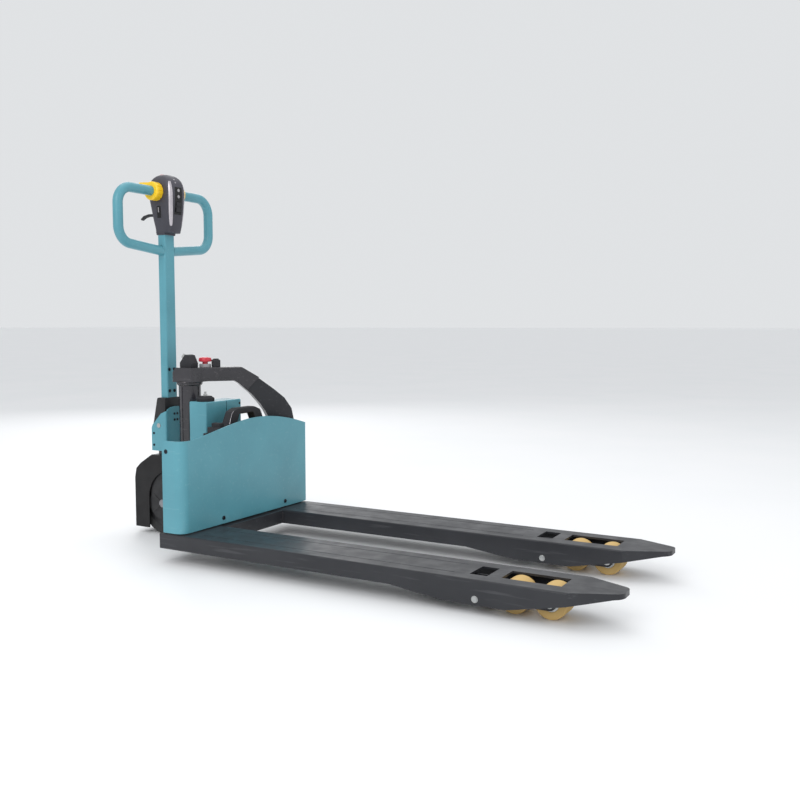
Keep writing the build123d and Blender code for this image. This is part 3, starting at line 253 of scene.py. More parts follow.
@dataclass(frozen=True)
class PowderCoat(Finish):
    """Baked powder paint with orange peel, handling marks, and lighter edges that are partly wear and partly a
    painted highlight.
    """
    # Edge colour and how strongly it shows: partly edge wear, partly a painted highlight along the rounded edges;
    # the colour also tints the scuffs.
    wear_highlight_colour: Colour = (0.3, 0.3, 0.3, 1.0)
    wear_highlight_amount: float = 1.0
    scuffed: float = 0.0

    def paint(self, s: Surface) -> None:
        """Paints a fresh surface."""
        s.tune(s.shader, {"Specular IOR Level": self.gloss, "Coat Weight": 0.3 * self.gloss,
                          "Coat Roughness": 0.22})
        body = self.mottled(s, 7.0, 4.0, 0.35, 0.65)
        streaks = s.span(s.noise(14.0, 5.0, (0.5, 9.0, 9.0)), 0.60, 0.72, 0.0, 0.10 + self.scuffed)
        body = s.blend(streaks, body, self.wear_highlight_colour)
        # Outer edges lightened towards the edge colour: partly wear, partly a painted highlight.
        edge_share = s.times(s.edge_mask(1.3 * MM, 60.0), s.span(s.noise(9.0, 2.0), 0.42, 0.58, 0.0, self.wear_highlight_amount))
        s.colour(s.blend(edge_share, body, self.wear_highlight_colour))
        s.rough(s.noise(22.0, 5.0), self.roughness, 0.07, 0.08)
        s.bumps([(s.noise(420.0, 2.0), 0.035 * MM), (s.noise(60.0, 3.0), 0.05 * MM)])


@dataclass(frozen=True)
class Moulded(Finish):
    """Injection moulded plastic with a spark grain and handled shiny patches."""
    grain: float = 0.05
    coat: float = 0.0

    def paint(self, s: Surface) -> None:
        """Paints a fresh surface."""
        s.tune(s.shader, {"Specular IOR Level": self.gloss, "Coat Weight": self.coat,
                          "Coat Roughness": 0.12})
        body = self.mottled(s, 11.0, 5.0, 0.38, 0.62)
        pale = tuple(min(1.0, channel * 2.2 + 0.015) for channel in self.shade[:3]) + (1.0,)
        edge_share = s.times(s.edge_mask(0.8 * MM, 90.0), s.span(s.noise(14.0), 0.4, 0.6, 0.0, 0.55))
        s.colour(s.blend(edge_share, body, pale))
        s.rough(s.noise(26.0, 4.0), self.roughness, 0.09, 0.08)
        s.bumps([(s.noise(1500.0, 1.0), self.grain * MM), (s.noise(45.0, 2.0), 0.06 * MM)])


@dataclass(frozen=True)
class BareMetal(Finish):
    """Plated, ground or polished metal with lengthwise tool marks."""
    stretch: tuple[float, float, float] = (1, 1, 1)
    marks: float = 0.02
    metallic: ClassVar[float] = 1.0

    def paint(self, s: Surface) -> None:
        """Paints a fresh surface."""
        s.colour(self.mottled(s, 35.0, 5.0, 0.36, 0.64))
        s.rough(s.noise(70.0, 5.0, self.stretch), self.roughness, 0.08, 0.12, 0.2)
        s.bumps([(s.noise(300.0, 3.0, self.stretch), self.marks * MM)])


@dataclass(frozen=True)
class Casting(Finish):
    """Sand-cast iron under thin paint, pitted and a little oily."""

    def paint(self, s: Surface) -> None:
        """Paints a fresh surface."""
        body = self.mottled(s, 18.0, 6.0, 0.38, 0.62)
        edge_share = s.times(s.edge_mask(1.2 * MM, 50.0), s.span(s.noise(8.0), 0.4, 0.6, 0.0, 0.6))
        s.colour(s.blend(edge_share, body, srgb(108, 104, 100)))
        s.rough(s.noise(40.0, 5.0), self.roughness, 0.1, 0.12)
        s.bumps([(s.noise(380.0, 4.0), 0.16 * MM), (s.noise(55.0, 3.0), 0.25 * MM)])


@dataclass(frozen=True)
class Urethane(Finish):
    """Cast polyurethane or rubber tread, scuffed round its rolling face."""
    glow: float = 0.0

    def paint(self, s: Surface) -> None:
        """Paints a fresh surface."""
        s.tune(s.shader, {"Subsurface Weight": self.glow, "Subsurface Radius": (0.006, 0.004, 0.001),
                          "Subsurface Scale": 0.5})
        body = self.mottled(s, 16.0, 4.0, 0.38, 0.62)
        dirt = s.span(s.noise(55.0, 6.0, (1.0, 0.25, 1.0)), 0.56, 0.74, 0.0, 0.45)
        s.colour(s.blend(dirt, body, tuple(0.35 * channel for channel in self.shade[:3]) + (1.0,)))
        s.rough(s.noise(40.0, 4.0), self.roughness, 0.1, 0.14)
        s.bumps([(s.noise(240.0, 4.0, (1.0, 0.3, 1.0)), 0.07 * MM), (s.noise(30.0, 3.0), 0.15 * MM)])


# The teal, charcoal and gloss charcoal coats get a lighter edge colour that is partly wear and partly a painted
# highlight.
TEAL = PowderCoat("teal_powder_coat", "teal_paint", srgb(88, 154, 168), srgb(82, 146, 160), 0.36, 0.45,
                  wear_highlight_colour=srgb(168, 205, 211), wear_highlight_amount=0.35)
CHARCOAL = PowderCoat("charcoal_powder_coat", "charcoal_paint", srgb(47, 48, 52), srgb(40, 41, 45), 0.40,
                      0.32, wear_highlight_colour=srgb(128, 128, 132), wear_highlight_amount=0.6, scuffed=0.04)
GLOSS_CHARCOAL = PowderCoat("gloss_charcoal_paint", "charcoal_paint", srgb(50, 48, 53), srgb(40, 39, 43),
                            0.24, 0.55, wear_highlight_colour=srgb(150, 146, 148), wear_highlight_amount=0.45, scuffed=0.04)
BLACK = Moulded("black_plastic", "black_plastic", srgb(25, 25, 27), srgb(19, 19, 21), 0.44, 0.3)
GUARD_PLASTIC = Moulded("guard_plastic", "black_plastic", srgb(30, 29, 30), srgb(23, 22, 23), 0.52, 0.28,
                        grain=0.10)
GLOSS_BLACK = Moulded("gloss_black_panel", "black_plastic", srgb(12, 12, 14), srgb(8, 8, 10), 0.17, 0.3,
                      grain=0.01, coat=0.2)
GREY = Moulded("pod_grey_plastic", "grey_plastic", srgb(72, 71, 79), srgb(61, 60, 68), 0.42, 0.4, grain=0.07)
COLLAR_GREY = Moulded("collar_grey_plastic", "grey_plastic", srgb(164, 162, 164), srgb(138, 136, 138), 0.42)
TANK_PLASTIC = Moulded("tank_plastic", "grey_plastic", srgb(120, 118, 112), srgb(104, 102, 97), 0.5)
RED = Moulded("red_plastic", "red_plastic", srgb(190, 30, 42), srgb(168, 22, 34), 0.28, grain=0.02, coat=0.3)
YELLOW = Moulded("yellow_plastic", "yellow_plastic", srgb(248, 194, 8), srgb(240, 180, 4), 0.36, 0.4,
                 grain=0.03, coat=0.1)
SILVER = BareMetal("silver_trim", "black_plastic", srgb(206, 200, 204), srgb(190, 185, 190), 0.34)
ZINC = BareMetal("zinc_plate", "zinc", srgb(198, 198, 196), srgb(170, 172, 172), 0.30, stretch=(1, 6, 1))
CHROME = BareMetal("hard_chrome", "chrome_steel", srgb(222, 223, 226), srgb(210, 212, 216), 0.10,
                   stretch=(4, 4, 0.2), marks=0.004)
DRAWN_STEEL = BareMetal("drawn_steel", "cylinder_steel", srgb(150, 150, 154), srgb(126, 127, 132), 0.34,
                        stretch=(5, 5, 0.3))
BLACK_OXIDE = BareMetal("black_oxide_screw", "black_screw", srgb(58, 60, 66), srgb(44, 46, 52), 0.34)
WELD = BareMetal("painted_weld", "charcoal_paint", srgb(96, 93, 95), srgb(58, 57, 60), 0.32, marks=0.12)
# Its lighter edge colour is partly wear and partly a painted highlight.
TEAL_WELD = PowderCoat("teal_weld", "teal_paint", srgb(84, 148, 161), srgb(76, 138, 152), 0.30,
                       wear_highlight_colour=srgb(150, 190, 197), wear_highlight_amount=0.3)
CAST = Casting("cast_iron_black", "cast_black", srgb(32, 32, 34), srgb(24, 24, 26), 0.5)
AMBER = Urethane("amber_polyurethane", "amber_polyurethane", srgb(206, 162, 84), srgb(186, 140, 60), 0.38,
                 glow=0.22)
TREAD = Urethane("drive_rubber", "drive_rubber", srgb(33, 32, 32), srgb(25, 24, 24), 0.62)


# ---------------- mesh work
def box_of(node: str) -> tuple[Vector, Vector, Vector]:
    """Lowest corner, highest corner and middle of a CAD node."""
    low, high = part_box(node)
    return low, high, (low + high) / 2


def stored(name: str, bm: Mesh) -> bpy.types.Mesh:
    """Stores a working mesh under a name and frees it."""
    mesh = bpy.data.meshes.new(name)
    bm.to_mesh(mesh)
    bm.free()
    return mesh


def linked(name: str, data: bpy.types.ID) -> bpy.types.Object:
    """Adds an object with its data to the scene."""
    thing = bpy.data.objects.new(name, data)
    bpy.context.scene.collection.objects.link(thing)
    return thing


def put(name: str, bm: Mesh, body: str, finish: Finish, replaces: Sequence[str] = (),
        crease: float = 35.0) -> bpy.types.Object:
    """Turns a finished mesh into a piece of the truck.

    Args:
        name: The piece's name.
        bm: Its mesh, in place. It is freed here.
        body: The CAD body that it rides on.
        finish: Its finish.
        replaces: CAD nodes that it stands for.
        crease: Degrees above which an edge stays sharp.

    Returns:
        The piece.
    """
    for face in bm.faces:
        face.smooth = True
    for edge in bm.edges:
        edge.smooth = edge.is_manifold and edge.calc_face_angle(0.0) < math.radians(crease)
    mesh = stored(name, bm)
    piece = linked(name, mesh)
    mesh.materials.append(finish.material())
    piece.modifiers.new("even_normals", "WEIGHTED_NORMAL").keep_sharp = True
    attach(piece, body)
    if replaces:
        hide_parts(*replaces)
    LOG.info("%s on %s: %d faces", name, body, len(mesh.polygons))
    return piece


def merged_copy(node: str) -> Mesh:
    """Closed copy of a CAD node with its flat faces whole again."""
    bm = bmesh.new()
    bm.from_mesh(frame["nodes"][node].data)
    bmesh.ops.remove_doubles(bm, verts=bm.verts, dist=0.002 * MM)
    bmesh.ops.dissolve_degenerate(bm, dist=0.001 * MM, edges=bm.edges)
    bmesh.ops.dissolve_limit(bm, angle_limit=math.radians(0.15), verts=bm.verts, edges=bm.edges)
    return bm


def inside_box(bm: Mesh, low: Vector, high: Vector) -> bool:
    """Whether every point lies in a box, within a hundredth of a millimetre."""
    slack = 0.01 * MM
    return all(low[i] - slack <= v.co[i] <= high[i] + slack for v in bm.verts for i in range(3))


def break_edges(bm: Mesh, edges: Sequence[bmesh.types.BMEdge], width: float, segments: int) -> None:
    """Bevels some edges; the width is in millimetres."""
    bmesh.ops.bevel(bm, geom=edges, offset=width * MM, offset_type="OFFSET", affect="EDGES",
                    segments=segments, profile=0.5, material=-1, clamp_overlap=True)


def rounded(node: str, finish: Finish, edge: float, segments: int = 2,
            above: float = 32.0) -> bpy.types.Object:
    """Stands a copy of a CAD node, with its sharp edges broken, in the node's place.

    Args:
        node: The CAD node.
        finish: Its finish.
        edge: Width of the broken edge, in millimetres; 0 leaves the edges.
        segments: Steps across the broken edge.
        above: Degrees above which an edge counts as sharp.

    Returns:
        The piece.
    """
    bm = merged_copy(node)
    low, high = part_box(node)
    volume = abs(bm.calc_volume())
    sharp = [e for e in bm.edges if e.is_manifold and e.calc_face_angle(0.0) > math.radians(above)]
    if edge and sharp:
        break_edges(bm, sharp, edge, segments)
        kept = inside_box(bm, low, high) and abs(abs(bm.calc_volume()) - volume) < MOST_LOST * volume
        if not kept:
            LOG.info("%s keeps its square edges", node)
            bm.free()
            bm = merged_copy(node)
    return put(node + "_finished", bm, BODY_OF[node], finish, [node])


def along(direction: Vector) -> Matrix:
    """Rotation that turns +Z to a direction."""
    return direction.to_track_quat("Z", "Y").to_matrix().to_4x4()


def lathe(profile: Iterable[tuple[float, float]], centre: Vector, axis: Vector,
          steps: int = 48) -> Mesh:
    """Turns an outline round an axis.

    Args:
        profile: Radius and height pairs in millimetres, as a closed outline or from pole to pole.
        centre: Where height 0 lies on the axis.
        axis: Direction of the axis.
        steps: Steps of the full turn.

    Returns:
        The closed mesh.
    """
    bm = bmesh.new()
    verts = [bm.verts.new((radius * MM, 0, height * MM)) for radius, height in profile]
    edges = [bm.edges.new(pair) for pair in zip(verts, verts[1:])]
    if verts[0].co.x > 0:
        edges.append(bm.edges.new((verts[-1], verts[0])))
    bmesh.ops.spin(bm, geom=verts + edges, cent=(0, 0, 0), axis=(0, 0, 1), angle=TURN, steps=steps,
                   use_merge=True)
    bmesh.ops.remove_doubles(bm, verts=bm.verts, dist=0.001 * MM)
    bmesh.ops.recalc_face_normals(bm, faces=bm.faces)
    bmesh.ops.transform(bm, matrix=Matrix.Translation(centre) @ along(axis), verts=bm.verts)
    return bm


def joined(parts: Sequence[Mesh]) -> Mesh:
    """One mesh of several. The parts are freed."""
    whole = bmesh.new()
    for part in parts:
        mesh = stored("part", part)
        whole.from_mesh(mesh)
        bpy.data.meshes.remove(mesh)
    return whole


def slab(low: Sequence[float], high: Sequence[float], edge: float, segments: int = 2) -> Mesh:
    """Block between two corners with broken edges.

    Args:
        low, high: Corners in metres.
        edge: Width of the broken edges in millimetres.
        segments: Steps across them.

    Returns:
        The mesh.
    """
    bm = bmesh.new()
    bmesh.ops.create_cube(bm, size=1.0)
    low, high = Vector(low), Vector(high)
    size, middle = high - low, (low + high) / 2
    bmesh.ops.transform(bm, matrix=Matrix.Translation(middle) @ Matrix.Diagonal((*size, 1)), verts=bm.verts)
    break_edges(bm, bm.edges[:], edge, segments)
    return bm


def tube(points: Sequence[Vector], radius: Callable[[int], float], sides: int = 10,
         closed: bool = False) -> Mesh:
    """Round bar along a path.

    Args:
        points: The path's points.
        radius: Radius in millimetres at each point's index.
        sides: Faces round the bar.
        closed: Whether the path comes back to its start.

    Returns:
        The closed mesh.
    """
    bm = bmesh.new()
    count = len(points)
    loops = []
    for index, point in enumerate(points):
        ahead = points[(index + 1) % count] if closed or index + 1 < count else point
        behind = points[index - 1] if closed or index > 0 else point
        turn = Matrix.Translation(point) @ along((ahead - behind).normalized())
        ring = bmesh.ops.create_circle(bm, cap_ends=False, radius=radius(index) * MM, segments=sides,
                                       matrix=turn)
        verts = set(ring["verts"])
        loops.append([e for e in bm.edges if e.verts[0] in verts and e.verts[1] in verts])
    for first, second in zip(loops, loops[1:] + ([loops[0]] if closed else [])):
        bmesh.ops.bridge_loops(bm, edges=first + second)
    if not closed:
        bmesh.ops.holes_fill(bm, edges=loops[0] + loops[-1], sides=0)
    bmesh.ops.recalc_face_normals(bm, faces=bm.faces)
    return bm


def weld_bead(points: Sequence[Vector], size: float, chance: random.Random, closed: bool = False) -> Mesh:
    """Hand-laid weld bead: overlapping ripples of uneven size along a path.

    Args:
        points: The seam's corners.
        size: Half width of the bead in millimetres.
        chance: Seeded source of the unevenness.
        closed: Whether the seam closes on itself.

    Returns:
        The mesh.
    """
    path: list[Vector] = []
    for start, end in zip(points, list(points[1:]) + ([points[0]] if closed else [])):
        count = max(2, round((end - start).length / RIPPLE))
        path.extend(start.lerp(end, i / count) for i in range(count))
    if not closed:
        path.append(points[-1])
    swell = [size * (0.86 + 0.16 * abs(math.sin(i * 0.9)) + chance.uniform(-0.06, 0.08))
             for i in range(len(path))]
    return tube(path, lambda i: swell[i], 8, closed)


def ring_points(centre: Vector, radius: float, axis: Vector, count: int = 40) -> list[Vector]:
    """Points of a circle round an axis; the radius is in millimetres."""
    turn = Matrix.Translation(centre) @ along(axis)
    angles = (TURN * i / count for i in range(count))
    return [turn @ Vector((radius * MM * math.cos(a), radius * MM * math.sin(a), 0)) for a in angles]


def round_axle(middle: Vector, y: float, radius: float, count: int, first: float = 0.0) -> list[Vector]:
    """Even places round a wheel's axle; the radius is in millimetres."""
    angles = (TURN * (i + first) / count for i in range(count))
    return [Vector((middle.x + radius * MM * math.cos(a), y, middle.z + radius * MM * math.sin(a)))
            for a in angles]


class SkinProbe:
    """Finds points on the outer surface of some CAD nodes."""

    def __init__(self, *nodes: str) -> None:
        """Reads the nodes' faces."""
        verts: list[Vector] = []
        faces: list[tuple[int, ...]] = []
        for node in nodes:
            mesh = frame["nodes"][node].data
            start = len(verts)
            verts.extend(v.co.copy() for v in mesh.vertices)
            faces.extend(tuple(start + i for i in p.vertices) for p in mesh.polygons)
        self.tree = BVHTree.FromPolygons(verts, faces)

    def touch(self, start: Vector, way: Vector) -> tuple[Vector, Vector]:
        """First surface point from a start along a way, and its outward normal."""
        point, normal, _, _ = self.tree.ray_cast(start, way)
        if point is None:
            raise ValueError(f"nothing to touch from {start}")
        return point, (normal if normal.dot(way) < 0 else -normal)


def laid_on(probe: SkinProbe, place: Callable[[float, float], Vector], way: Vector, steps: tuple[int, int],
            proud: float, thick: float) -> Mesh:
    """Thin sheet laid on a curved surface.

    Args:
        probe: The surface.
        place: Start of the ray for a point of the sheet, from two values between -1 and 1.
        way: Direction of the rays.
        steps: Faces across and along.
        proud: How far the sheet stands out, in millimetres.
        thick: Its thickness in millimetres.

    Returns:
        The closed sheet.
    """
    bm = bmesh.new()
    bmesh.ops.create_grid(bm, x_segments=steps[0], y_segments=steps[1], size=1.0)
    for vert in bm.verts:
        point, _ = probe.touch(place(vert.co.x, vert.co.y), way)
        vert.co = point - way * proud * MM
    bmesh.ops.recalc_face_normals(bm, faces=bm.faces)
    if sum((f.normal.dot(way) for f in bm.faces)) > 0:
        bmesh.ops.reverse_faces(bm, faces=bm.faces)
    bmesh.ops.solidify(bm, geom=bm.faces[:], thickness=thick * MM)
    bmesh.ops.recalc_face_normals(bm, faces=bm.faces)
    return bm


# ---------------- sub-assemblies
class Assembly:
    """CAD nodes that only take a finish, and the pieces that are added to them."""
    own: ClassVar[Sequence[tuple]] = ()

    def dress(self) -> None:
        """Rounds and finishes the assembly's own nodes."""
        for row in self.own:
            rounded(*row)


@dataclass
class ForkFrame(Assembly):
    """Forks, crossbeam, cover, gooseneck and guide post."""
    press_line_width: float = 3.0
    press_line_height: float = 0.45
    bead: float = 2.2
    foot_seam: tuple[float, float] = (-38.0, 52.0)
    foot_depth: float = 14.0
    seed: int = SEED

    own = (
        *((side + "_fork", CHARCOAL, 1.6, 3) for side in SIDES),
        ("crossbeam", CHARCOAL, 0.8), ("front_cover", TEAL, 0.7),
        ("gooseneck_leg", CHARCOAL, 2.6, 3, 18.0), ("gooseneck_head", GLOSS_CHARCOAL, 1.8, 3, 25.0),
        ("guide_post", GLOSS_CHARCOAL, 0.5), ("lift_ram", CHROME, 0.5),
        ("cover_screws", BLACK_OXIDE, 0.15), ("arm_pins", ZINC, 0.6))

    def build(self) -> None:
        """Adds the press lines and the weld beads."""
        self.press_lines()
        self.beads()

    def press_lines(self) -> None:
        """Two shallow lengthwise ridges pressed into each fork's top."""
        for side in SIDES:
            low, high, middle = box_of(side + "_fork")
            start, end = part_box("front_cover")[1].x + 40 * MM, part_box(side + "_load_arm")[0].x - 45 * MM
            half, offset = self.press_line_width / 2 * MM, (high.y - low.y) / 4
            ridges = []
            for y in (middle.y - offset, middle.y + offset):
                ridges.append(slab((start, y - half, high.z - 0.4 * MM),
                                   (end, y + half, high.z + self.press_line_height * MM), 0.4, 3))
            put(side + "_fork_press_lines", joined(ridges), "fork_frame", CHARCOAL)

    def beads(self) -> None:
        """Weld beads where the frame's members meet."""
        chance = random.Random(self.seed)
        post_low, post_high, post = box_of("guide_post")
        radius = (post_high.x - post_low.x) / 2 / MM
        rings = []
        for down, out in ((8.6, -4.2), (0.6, 0.4)):
            centre = Vector((post.x, post.y, post_high.z - down * MM))
            ring = ring_points(centre, radius + out, Axis.Z.value)
            rings.append(weld_bead(ring, self.bead, chance, True))
        put("post_weld", joined(rings), "fork_frame", WELD)
        beam_low, beam_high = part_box("crossbeam")
        beam_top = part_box("near_fork")[1].z - 7 * MM
        seams = []
        for sign in SIDES.values():
            y = sign * (beam_high.y - 0.3 * MM)
            for x in (beam_low.x, beam_high.x):
                ends = [Vector((x, y, beam_low.z + 3 * MM)), Vector((x, y, beam_top))]
                seams.append(weld_bead(ends, self.bead, chance))
        put("crossbeam_welds", joined(seams), "fork_frame", WELD)
        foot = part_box("front_cover")[1].x - 8 * MM
        _, fork_high, fork = box_of("far_fork")
        seams = []
        for x in (foot, foot - self.foot_depth * MM):
            ends = [Vector((x, fork.y + y * MM, fork_high.z + 0.2 * MM)) for y in self.foot_seam]
            seams.append(weld_bead(ends, self.bead, chance))
        put("foot_welds", joined(seams), "fork_frame", WELD)


@dataclass
class PowerPack(Assembly):
    """Removable battery with its handle, plug and tray."""
    line: float = 0.5
    ribs: int = 7
    rib_pitch: float = 22.0
    grips: int = 5
    grip_pitch: float = 5.5

    own = (
        ("battery_tray", CHARCOAL, 0.8), ("battery_case", BLACK, 1.2), ("battery_handle", BLACK, 3.0, 4),
        ("battery_plug", BLACK, 1.0))

    def build(self) -> None:
        """Adds the pale parting lines, the plain label and the plug's ribs."""
        low, high, middle = box_of("battery_handle")
        lines = []
        for y, inward in ((low.y + 3 * MM, 1), (high.y - 3 * MM, -1)):
            path = [Vector((high.x + self.line * MM * 0.2, y + inward * shift * MM, z)) for shift, z in (
                (0, low.z + 2 * MM), (11, high.z - 14 * MM), (19, high.z - 8 * MM))]
            lines.append(tube(path, lambda _: self.line, 8))
        put("battery_handle_lines", joined(lines), "fork_frame", SILVER)
        case_low, case_high, case = box_of("battery_case")
        label = slab((case.x - 4 * MM, middle.y - 12 * MM, case_high.z - 0.2 * MM),
                     (case_high.x - 3 * MM, middle.y + 22 * MM, case_high.z + 0.5 * MM), 0.2)
        put("battery_label", label, "fork_frame", YELLOW)
        ribs = []
        for index in range(self.ribs):
            y = case_low.y + (60 + self.rib_pitch * index) * MM
            for x, out in ((case_low.x, -1), (case_high.x, 1)):
                lo_x, hi_x = sorted((x - out * 0.5 * MM, x + out * 1.1 * MM))
                ribs.append(slab((lo_x, y - 2 * MM, case_low.z + 30 * MM),
                                 (hi_x, y + 2 * MM, case_high.z - 30 * MM), 0.5))
        put("battery_case_ribs", joined(ribs), "fork_frame", BLACK)
        _, plug_high, plug = box_of("battery_plug")
        grips = []
        for index in range(self.grips):
            x = plug.x + (index - self.grips // 2) * self.grip_pitch * MM
            grips.append(slab((x - 1 * MM, plug.y - 10.8 * MM, plug_high.z - 8 * MM),
                              (x + 1 * MM, plug.y + 10.8 * MM, plug_high.z - 1.5 * MM), 0.4))
        put("battery_plug_grips", joined(grips), "fork_frame", BLACK)


@dataclass
class HeadControls(Assembly):
    """Key switch, emergency stop and charging socket on the gooseneck's head."""

    own = (
        ("switch_body", BLACK, 0.9), ("ignition_key", ZINC, 0.35), ("estop_base", COLLAR_GREY, 0.5),
        ("charge_socket", BLACK, 0.8))

    def build(self) -> None:
        """Adds the turned stop button, the key's bezel and the socket's cap."""
        low, high, middle = box_of("estop_button")
        base = Vector((middle.x, middle.y, low.z))
        tall = (high.z - low.z) / MM
        wide = (high.x - low.x) / 2 / MM
        stem, lip = tall - 14, tall - 13
        profile = [(0, 0), (7.6, 0), (7.9, 0.5), (7.9, stem), (wide - 2.5, stem), (wide - 0.6, lip),
                   (wide, lip + 2), (wide - 0.2, tall - 6), (wide - 1.4, tall - 3), (wide - 3.6, tall - 1.2),
                   (wide - 6, tall - 0.9), (wide - 7, tall - 1.6), (wide - 9, tall - 1.7),
                   (wide - 10, tall - 0.6), (4, tall), (0, tall)]
        put("estop_mushroom", lathe(profile, base, Axis.Z.value, 64), "estop", RED, ["estop_button"])
        key = next(j for j in frame["joints"] if j["name"] == "key_turn")
        axis, pivot = Vector(key["axis"]).normalized(), Vector(key["pos_m"])
        bezel = [(5.2, -0.4), (8.4, -0.4), (8.8, 0.4), (8.2, 1.5), (6.4, 1.7), (5.2, 1.2)]
        put("key_bezel", lathe(bezel, pivot, axis, 40), "fork_frame", ZINC)
        _, socket_high, socket = box_of("charge_socket")
        cap = [(0, -0.5), (8, -0.5), (8.6, 0.2), (8.6, 2.0), (7.8, 2.8), (0, 2.9)]
        top = Vector((socket.x, socket.y, socket_high.z))
        put("socket_cap", lathe(cap, top, Axis.Z.value, 40), "fork_frame", BLACK)


@dataclass
class Carriage(Assembly):
    """Carriage plate with the pump under its cover, and the cylinder."""
    lap: float = 1.2
    cap_ribs: int = 36

    own = (
        ("carriage_plate", CHARCOAL, 0.8), ("pump_cover", TEAL, 0.5),
        ("lift_cylinder", DRAWN_STEEL, 0.4), ("steer_bearing", ZINC, 0.3),
        ("oil_tank", TANK_PLASTIC, 0.3), ("pump_motor", CAST, 0.6))

    def build(self) -> None:
        """Adds the lapped panel with its screws, and the filler cap with its breather."""
        low, high, middle = box_of("pump_cover")
        seam = middle.y + 12 * MM
        panel = slab((high.x - 0.6 * MM, seam, low.z + 3 * MM),
                     (high.x + self.lap * MM, high.y - 3 * MM, high.z - 2.2 * MM), 0.5)
        put("pump_cover_lap", panel, "carriage", TEAL)
        gasket = slab((high.x - 0.3 * MM, seam - 1.6 * MM, low.z + 3 * MM),
                      (high.x + 0.35 * MM, seam + 0.5 * MM, high.z - 2.4 * MM), 0.15)
        put("pump_cover_seam", gasket, "carriage", GLOSS_BLACK)
        dome = [(0, -1), (3.6, -1), (3.6, 0.2), (3.2, 1.1), (2.0, 1.7), (1.4, 1.7), (1.3, 0.6), (0, 0.6)]
        screws = []
        for y, z in ((high.y - 9 * MM, high.z - 12 * MM), (high.y - 9 * MM, low.z + 12 * MM),
                     (low.y + 9 * MM, low.z + 12 * MM)):
            out = self.lap if y > seam else 0.0
            screws.append(lathe(dome, Vector((high.x + out * MM, y, z)), Axis.X.value, 20))
        for x in (low.x + 12 * MM, high.x - 12 * MM):
            screws.append(lathe(dome, Vector((x, low.y, low.z + 14 * MM)), -Axis.Y.value, 20))
            screws.append(lathe(dome, Vector((x, high.y, low.z + 14 * MM)), Axis.Y.value, 20))
        put("pump_cover_screws", joined(screws), "carriage", BLACK_OXIDE)
        self.filler_cap()

    def filler_cap(self) -> None:
        """Low ribbed cap with a plated breather."""
        low, high, middle = box_of("tank_cap")
        centre = Vector((middle.x, middle.y, low.z))
        wide, tall = (high.x - low.x) / 2 / MM, (high.z - low.z) / MM
        disc = [(0, 0), (wide - 1.2, 0), (wide - 1.2, 9.5), (wide - 2, 11), (wide - 4.5, 12), (20, 12.1),
                (19.6, 14.6), (18.6, 15), (9, 15), (8, 14.4), (0, 14.4)]
        ribs = []
        for index in range(self.cap_ribs):
            turn = Matrix.Translation(centre) @ Matrix.Rotation(TURN * index / self.cap_ribs, 4, "Z")
            rib = slab(((wide - 2) * MM, -0.9 * MM, 1.5 * MM),
                       ((wide - 0.1) * MM, 0.9 * MM, 8.8 * MM), 0.35)
            bmesh.ops.transform(rib, matrix=turn, verts=rib.verts)
            ribs.append(rib)
        cap = joined([lathe(disc, centre, Axis.Z.value, 72)] + ribs)
        put("filler_cap", cap, "carriage", BLACK, ["tank_cap"])
        nut = lathe([(0, 14.2), (6.2, 14.2), (6.2, 20.4), (5.4, 21), (0, 21)], centre, Axis.Z.value, 6)
        stem = lathe([(0, 20.6), (3.4, 20.6), (3.4, 22.4), (2.6, 23), (2.6, 24.6), (3.6, 25.2), (3.6, 26.8),
                      (2.4, tall), (0, tall)], centre, Axis.Z.value, 24)
        put("filler_breather", joined([nut, stem]), "carriage", ZINC, crease=30.0)


